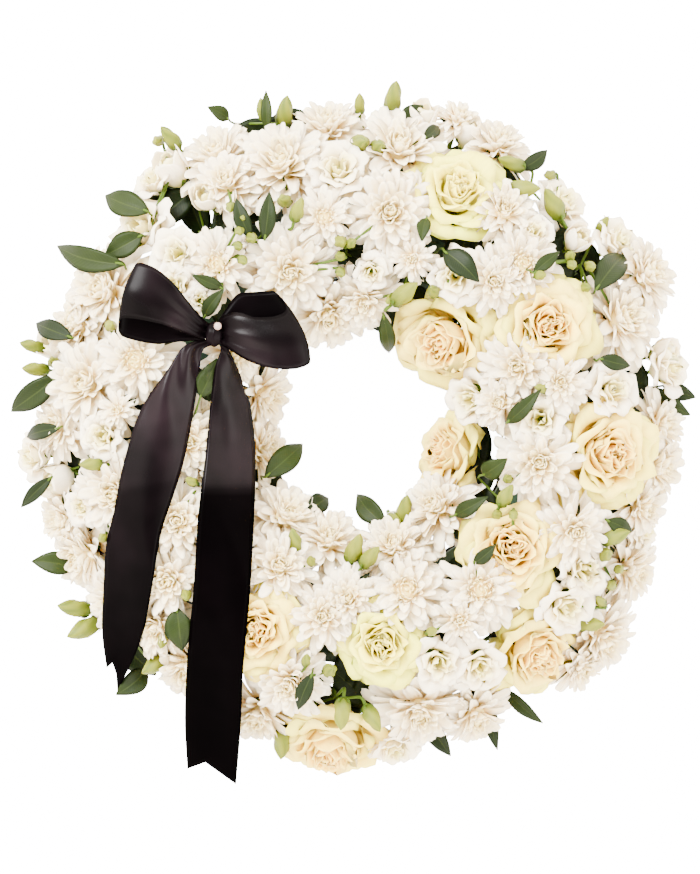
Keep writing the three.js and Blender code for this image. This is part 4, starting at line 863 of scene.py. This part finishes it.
bloomNodes = list(dict.fromkeys(bloom["node"] for bloom in blooms))
for node in bloomNodes:
    parts = Parts()
    heads = [bloom for bloom in blooms if bloom["node"] == node]
    for bloom in heads:
        kind, centre, axis, radius = bloom["kind"], bloom["centre"], bloom["axis"], bloom["radius"]
        if kind == "mum_spray":
            mumPetals(bloom, parts)
            calyxBlades(parts, centre, axis, radius * 0.5, -0.42 * radius, 0.7, 6)
        else:
            look = roseLook if kind == "rose" else cupLook if bloom["cup"] else lisianthusLook
            cupPetals(bloom, parts, look)
            below = (-0.9 if bloom["cup"] else -0.7) * radius
            calyxBlades(parts, centre, axis, radius * 0.7, below, 0.8, 5)
        foot = centre - axis * radius * 0.35
        addStem(parts, foot, foamPoint(centre[0], centre[1]), stemRadius[kind])
        if kind == "mum_spray":  # the spray's own leaves, mostly under its heads
            for turn in rng.uniform(0, 360, 2):
                side, other, _ = basisOf(axis)
                way = side * math.cos(math.radians(turn)) + other * math.sin(math.radians(turn))
                leafFoot = centre - axis * radius * 0.42
                tip = leafFoot + way * radius * 1.22 + axis * radius * 0.1
                tip[2] = max(tip[2], 6)
                addLeaf(parts, leafFoot, tip, radius * 0.55, leafFoot - axis * 3, leafSlot,
                        rng.uniform(0, 0.7), arch=0.06)
    for bud in allBuds.get(node, []):
        addBud(parts, *bud)
    for foot, tip, width, root, tone in allLeaves.get(node, []):
        addLeaf(parts, foot, tip, width, root, leafSlot, tone + rng.uniform(-0.15, 0.3))
    kind = heads[0]["kind"]
    petal = mumPetal if kind == "mum_spray" else lisianthusPetal
    if kind == "rose":
        petal = greenRosePetal if node in ("rose_01", "rose_08") else rosePetal
    makePiece(node, parts, [petal, stemGreen, budPetal, leafGreen])
print("blooms made:", len(bloomNodes), "pieces")

for node, hub, buds, spray in sprayPlan:
    parts = Parts()
    for bud in buds:
        addBud(parts, *bud)
    for x, y, tipX, tipY, width in spray["leaves"]:
        roll, tone = rng.uniform(-0.2, 0.2), rng.uniform(0.1, 0.9)
        addLeaf(parts, onDome(x, y, -3), onDome(tipX, tipY, 7), width, hub, firstSlot, tone,
                arch=sprayLook["arch"], roll=roll, dip=sprayLook["dip"])
    addStem(parts, hub, foamPoint(hub[0], hub[1]), stemRadius["leaf_spray"])
    makePiece(node, parts, [leafGreen, stemGreen, budPetal])

# Leaves point out from the stem by turns: "lower" and "upper" give reach, height and turn of a tip
collarLook = {"ring": 212, "high": 23, "radius": 2, "start": 186, "step": 6, "width": 26,
              "lower": (44, 7, 5), "upper": (50, 30, -4), "farFoot": 34.0, "farTip": 38.0}
# More low leaves where the blooms leave a gap: x, y and the leafy stem they belong to
gapLeaves = [
    [105, -11, 3], [-189, -193, 2], [-158, 190, 1], [236, 46, 3], [192, 151, 0], [-92, 254, 1],
    [-243, -26, 2], [105, -38, 3], [123, 213, 0], [24, 96, 0], [-175, 195, 1], [-6, -234, 2],
    [-75, -43, 2], [46, 112, 0], [-32, -226, 2], [166, -126, 3], [-58, 260, 1],
]
for i, (first, last, count) in enumerate(collars):
    node = f"collar_leaves_{i + 1:02d}"
    parts = Parts()
    ring, level = collarLook["ring"], collarLook["high"]
    path = [polar(first - 4) * collarLook["start"] + up * (level + 1)]
    path += [polar(d) * ring + up * level for d in np.arange(first, last + 1, collarLook["step"])]
    parts.add(tubeRings(splinePath(path, 40), collarLook["radius"], 8), stemSlot, own=0.4)
    for k in range(count):
        at = first + 4 + (last - first - 8) * (k + 0.5) / count
        out, high, aside = collarLook["upper"] if k % 2 else collarLook["lower"]
        foot = polar(at) * (ring - 1.2) + up * level
        tip = polar(at + aside) * (ring + out) + up * high
        roll, tone = rng.uniform(-0.15, 0.15), rng.uniform(0, 0.6)
        addLeaf(parts, foot, tip, collarLook["width"], foot - polar(at) * 3, firstSlot, tone, roll=roll)
    for x, y, tipX, tipY, width, owner in farLeaves:
        if owner == i:
            foot, tip = np.array([x, y, collarLook["farFoot"]]), np.array([tipX, tipY, collarLook["farTip"]])
            root = unit(np.array([x, y, 0.0])) * (ring - 5) + up * level
            addLeaf(parts, foot, tip, width, root, firstSlot, rng.uniform(0.1, 0.9), roll=0.2)
    for x, y, owner in gapLeaves:
        if owner == i:
            middle = np.array([x, y, lowLeaves["gapLevel"] * domeHeight(x, y)])
            half = np.cross(up, unit(np.array([x, y, 0.0]))) * lowLeaves["length"] / 2
            addLeaf(parts, middle - half, middle + half, lowLeaves["width"], foamPoint(x, y), firstSlot,
                    lowLeaves["tone"])
    makePiece(node, parts, [leafGreen, stemGreen])
print("sprays and collars made")

# The bow: tails, loops and knot of one ribbon

knot = {"place": [-118, 80, 135], "size": [8.5, 11, 9], "pleat": 0.09, "rows": 22, "sides": 40}
# "sheenAt" gives where the tails' painted sheen levels change, as shares of the length
tailLook = {"rows": 90, "notchFrom": 0.9, "notchLong": 0.1, "settle": 14, "crown": 2.0, "lengthWave": 0.9,
            "crossWave": 1.1, "creaseAt": 0.2, "creaseLong": 0.13, "lower": 0.8,
            "sheenAt": [0, 0.1, 0.2, 0.49, 0.51, 1]}
loopLook = {"rows": 64, "root": 7, "lean": 0.55, "bulge": (2.0, -1.0), "gather": 2.2, "ripple": 0.8}
# "end" holds the two corners of a loop's fold; it widens over "reach" of its length, later with more "power"
loops = [
    {"end": [[-186, 136], [-199, 89]], "rise": 18.5, "open": 9, "reach": 1.0, "power": 1.7, "round": 3},
    {"end": [[-37, 63], [-57, 106]], "rise": 18.5, "open": 12, "reach": 0.5, "power": 1.0, "round": 5},
]
knotPlace = np.array(knot["place"], float)
bow = Parts()
x = np.linspace(-1, 1, 13)
# Each tail is a strip between its two edge lines, at the ribbon's height over the blooms, with a low
# crown 1 - x^2, long waves down its length and a crumple near the knot
for tail in tails:
    edges = np.array(tail["edges"], float)
    line = splinePath(edges, tailLook["rows"])
    t = np.linspace(0, 1, tailLook["rows"])[:, None]
    share = (x[None] + 1) / 2
    flatX = line[:, 0:1] * (1 - share) + line[:, 2:3] * share
    flatY = line[:, 1:2] * (1 - share) + line[:, 3:4] * share
    endMiddle = (edges[-1, :2] + edges[-1, 2:]) / 2
    notch = np.array(tail["notch"]) - endMiddle
    cut = np.maximum(0, (t - tailLook["notchFrom"]) / tailLook["notchLong"]) * (1 - np.abs(x[None]))
    flatX, flatY = flatX + notch[0] * cut, flatY + notch[1] * cut
    high = ribbonHeight(flatX, flatY)
    ends = np.minimum(1, t * tailLook["settle"])
    crown = tailLook["crown"] * (1 - x[None] ** 2) * ends
    fold = tailLook["lengthWave"] * np.sin(flatY / 17 + 2 * x[None]) * ends
    fold = fold + tailLook["crossWave"] * np.cos(x[None] * 3.2 + flatY / 60) * ends
    crease = np.exp(-((t - tailLook["creaseAt"]) / tailLook["creaseLong"]) ** 2)
    crumple = tail["crumple"] * crease * np.sin(5 * x[None] + flatY / 8)
    high = high * ends + crumple + (knotPlace[2] - 4) * (1 - ends) + crown + fold - tailLook["lower"]
    grid = np.stack([flatX, flatY, high], axis=-1)[None]
    # Painted sheen: lighter base colour, and more coat gloss, down the tail where its level is high
    paintedSheenAndCoat = np.interp(t[:, 0], tailLook["sheenAt"], tail["sheen"])[None, :, None]
    bow.add(bladeRings(grid, ribbon["shown"]), firstSlot, depth=paintedSheenAndCoat)
# Each loop is a band carried out along "way", over and back under; it widens from the knot, leans
# sideways to open, and is gathered into pleats cos(9x) at the knot
for loop in loops:
    a, b = (np.array([*end, 0.0]) for end in loop["end"])
    middle = (a + b) / 2
    way = middle - knotPlace * [1, 1, 0]
    length = np.linalg.norm(way)
    way = way / length
    endAcross = unit(b - a)
    rootAcross = np.cross(up, way)
    rootAcross = rootAcross * np.sign(np.dot(rootAcross, endAcross))
    rise = loop["rise"]
    # Side view: share of the length and height, out over the top and back underneath
    line = splinePath([[0.07, 3], [0.3, rise * 0.75], [0.7, rise], [0.95, rise * 0.85], [1, rise * 0.5],
                       [0.93, 0], [0.6, -3], [0.3, -3], [0.07, -3]], loopLook["rows"])
    out, high = line[:, 0] * length, line[:, 1]
    share = np.clip(out / (loopLook["lean"] * length), 0, 1)
    widen = np.sin(np.clip(out / (loop["reach"] * length), 0, 1) * np.pi / 2) ** loop["power"]
    half = loopLook["root"] + (ribbon["width"] / 2 - loopLook["root"]) * widen
    across = unit(rootAcross * (1 - share[:, None]) + endAcross * share[:, None])
    bulge = np.where(high > rise / 3, *loopLook["bulge"])
    gather = (1 - share)[:, None] * loopLook["gather"] * np.cos(x[None] * 9)
    gather = gather + share[:, None] * loopLook["ripple"] * np.sin(x[None] * 4 + 1)
    centre = knotPlace + way * out[:, None] + up * high[:, None]
    aside = -loop["open"] * share * np.clip(2 * high / rise - 1, -1, 1)  # the loop opens to one side
    grid = centre[:, None] + across[:, None] * (half[:, None] * x[None] + aside[:, None])[..., None]
    grid = grid + up * (bulge[:, None] * (1 - x[None] ** 2) + gather)[..., None]
    grid = grid + way * (loop["round"] * share[:, None] ** 3 * (0.6 - x[None] ** 2))[..., None]
    # Painted highlight near the end of each loop's upper band, which also raises its coat gloss
    paintedSheenAndCoat = (0.15 + 0.55 * np.exp(-((share - 0.75) / 0.3) ** 2) * (high > rise / 3))[None, :, None]
    bow.add(bladeRings(grid[None], ribbon["shown"]), firstSlot, depth=paintedSheenAndCoat)
# Knot: an ellipsoid with pleats that run over it between the loops
polarAngle = np.linspace(0.06, np.pi - 0.06, knot["rows"])[:, None]
turn = np.linspace(0, 2 * np.pi, knot["sides"], endpoint=False)[None]
pleat = 1 - knot["pleat"] * np.abs(np.sin(polarAngle * 4.0 + 0.5 * np.sin(turn * 2)))
ball = np.stack([np.cos(polarAngle) * pleat + 0 * turn, np.sin(polarAngle) * np.cos(turn) * pleat,
                 np.sin(polarAngle) * np.sin(turn) * pleat], axis=-1)
# A little painted sheen and coat gloss over the knot
bow.add((ball[:, ::-1] * np.array(knot["size"]) + knotPlace)[None], firstSlot, depth=0.25)
bowPiece = makePiece("ribbon_bow", bow, [satin])

# The pin: a pearl over the knot, and its shaft down into the foam
pin = {"place": [-114.8, 86.7, 144.4], "pearl": 3.3, "shaft": 0.8, "middle": 80, "end": 27}
pearlSlot, steelSlot = 0, 1
parts = Parts()
pinPlace = np.array(pin["place"])
polarAngle = np.linspace(0.03, np.pi - 0.03, 20)
path = pinPlace + up * (pin["pearl"] * np.cos(polarAngle))[:, None]
parts.add(tubeRings(path[::-1], pin["pearl"] * np.sin(polarAngle)[::-1], 28), pearlSlot)
pinFoot = pinPlace * [1, 1, 0]
shaft = [pinPlace, pinFoot + up * pin["middle"], pinFoot + up * pin["end"]]
parts.add(tubeRings(shaft, pin["shaft"], 10), steelSlot)
makePiece("pearl_pin", parts, [pearl, steel])
print("bow and pin made")

# Floor, lights and camera

studio = {"floorReach": 14.0, "floorBelow": 0.0005, "floorGlow": 14.0, "skyStrength": 9.0,
          "sky": (1.0, 0.915, 0.815), "overhead": (0.10, 0.09, 0.085),
          "overheadFrom": 0.82, "overheadTo": 0.95}
lamps = {"key": {"place": (-1.1, 1.15, 1.8), "size": 1.0, "power": 240.0},
         "fill": {"place": (1.5, -0.9, 1.5), "size": 1.6, "power": 60.0}}
floorMesh = bpy.data.meshes.new("floor")
reach = studio["floorReach"]
floorMesh.from_pydata([(-reach, -reach, 0), (reach, -reach, 0), (reach, reach, 0), (-reach, reach, 0)], [],
                      [(0, 1, 2, 3)])
floor = bpy.data.objects.new("floor", floorMesh)
floor.location.z = -studio["floorBelow"]
bpy.context.scene.collection.objects.link(floor)
floor.visible_diffuse = floor.visible_glossy = False
floorLook, tree, shader = newMaterial("floor_white", Roughness=0.9, Emission_Strength=studio["floorGlow"])
shader.inputs["Base Color"].default_value = (0.9, 0.9, 0.9, 1)
shader.inputs["Emission Color"].default_value = (1, 1, 1, 1)
floorMesh.materials.append(floorLook)

world = bpy.data.worlds.new("studio")
bpy.context.scene.world = world
world.use_nodes = True
# Dark straight overhead, where the camera and its arm are, and bright all round
tree = Nodes(world.node_tree)
skyPlace = tree.new("ShaderNodeTexCoord").outputs["Generated"]
height = tree.new("ShaderNodeSeparateXYZ", {0: skyPlace}).outputs["Z"]
overhead = tree.new("ShaderNodeMapRange", {
    "Value": height, "From Min": studio["overheadFrom"], "From Max": studio["overheadTo"]})
sky = tree.mix(overhead.outputs["Result"], colour4(studio["sky"]), colour4(studio["overhead"]))
background = world.node_tree.nodes["Background"]
world.node_tree.links.new(sky, background.inputs["Color"])
background.inputs["Strength"].default_value = studio["skyStrength"]

for name, look in lamps.items():
    light = bpy.data.lights.new(name, "AREA")
    light.size, light.energy = look["size"], look["power"]
    lamp = bpy.data.objects.new(name, light)
    lamp.location = look["place"]
    lamp.rotation_euler = (-Vector(look["place"])).to_track_quat("-Z", "Y").to_euler()
    bpy.context.scene.collection.objects.link(lamp)

view = {"x": -0.00325, "y": -0.0030, "level": 0.07, "distance": 4.54, "lens": 220.0, "sensor": 36.0}
camera = bpy.data.cameras.new("camera")
camera.lens, camera.sensor_width = view["lens"], view["sensor"]
camera.dof.use_dof = False
cameraObject = bpy.data.objects.new("camera", camera)
cameraObject.location = (view["x"], view["y"], view["level"] + view["distance"])
bpy.context.scene.collection.objects.link(cameraObject)
bpy.context.scene.camera = cameraObject

shown = [piece.data for piece in bpy.data.objects if piece.type == "MESH" and not piece.hide_render]
print("triangles shown:", sum(len(mesh.loops) - 2 * len(mesh.polygons) for mesh in shown))
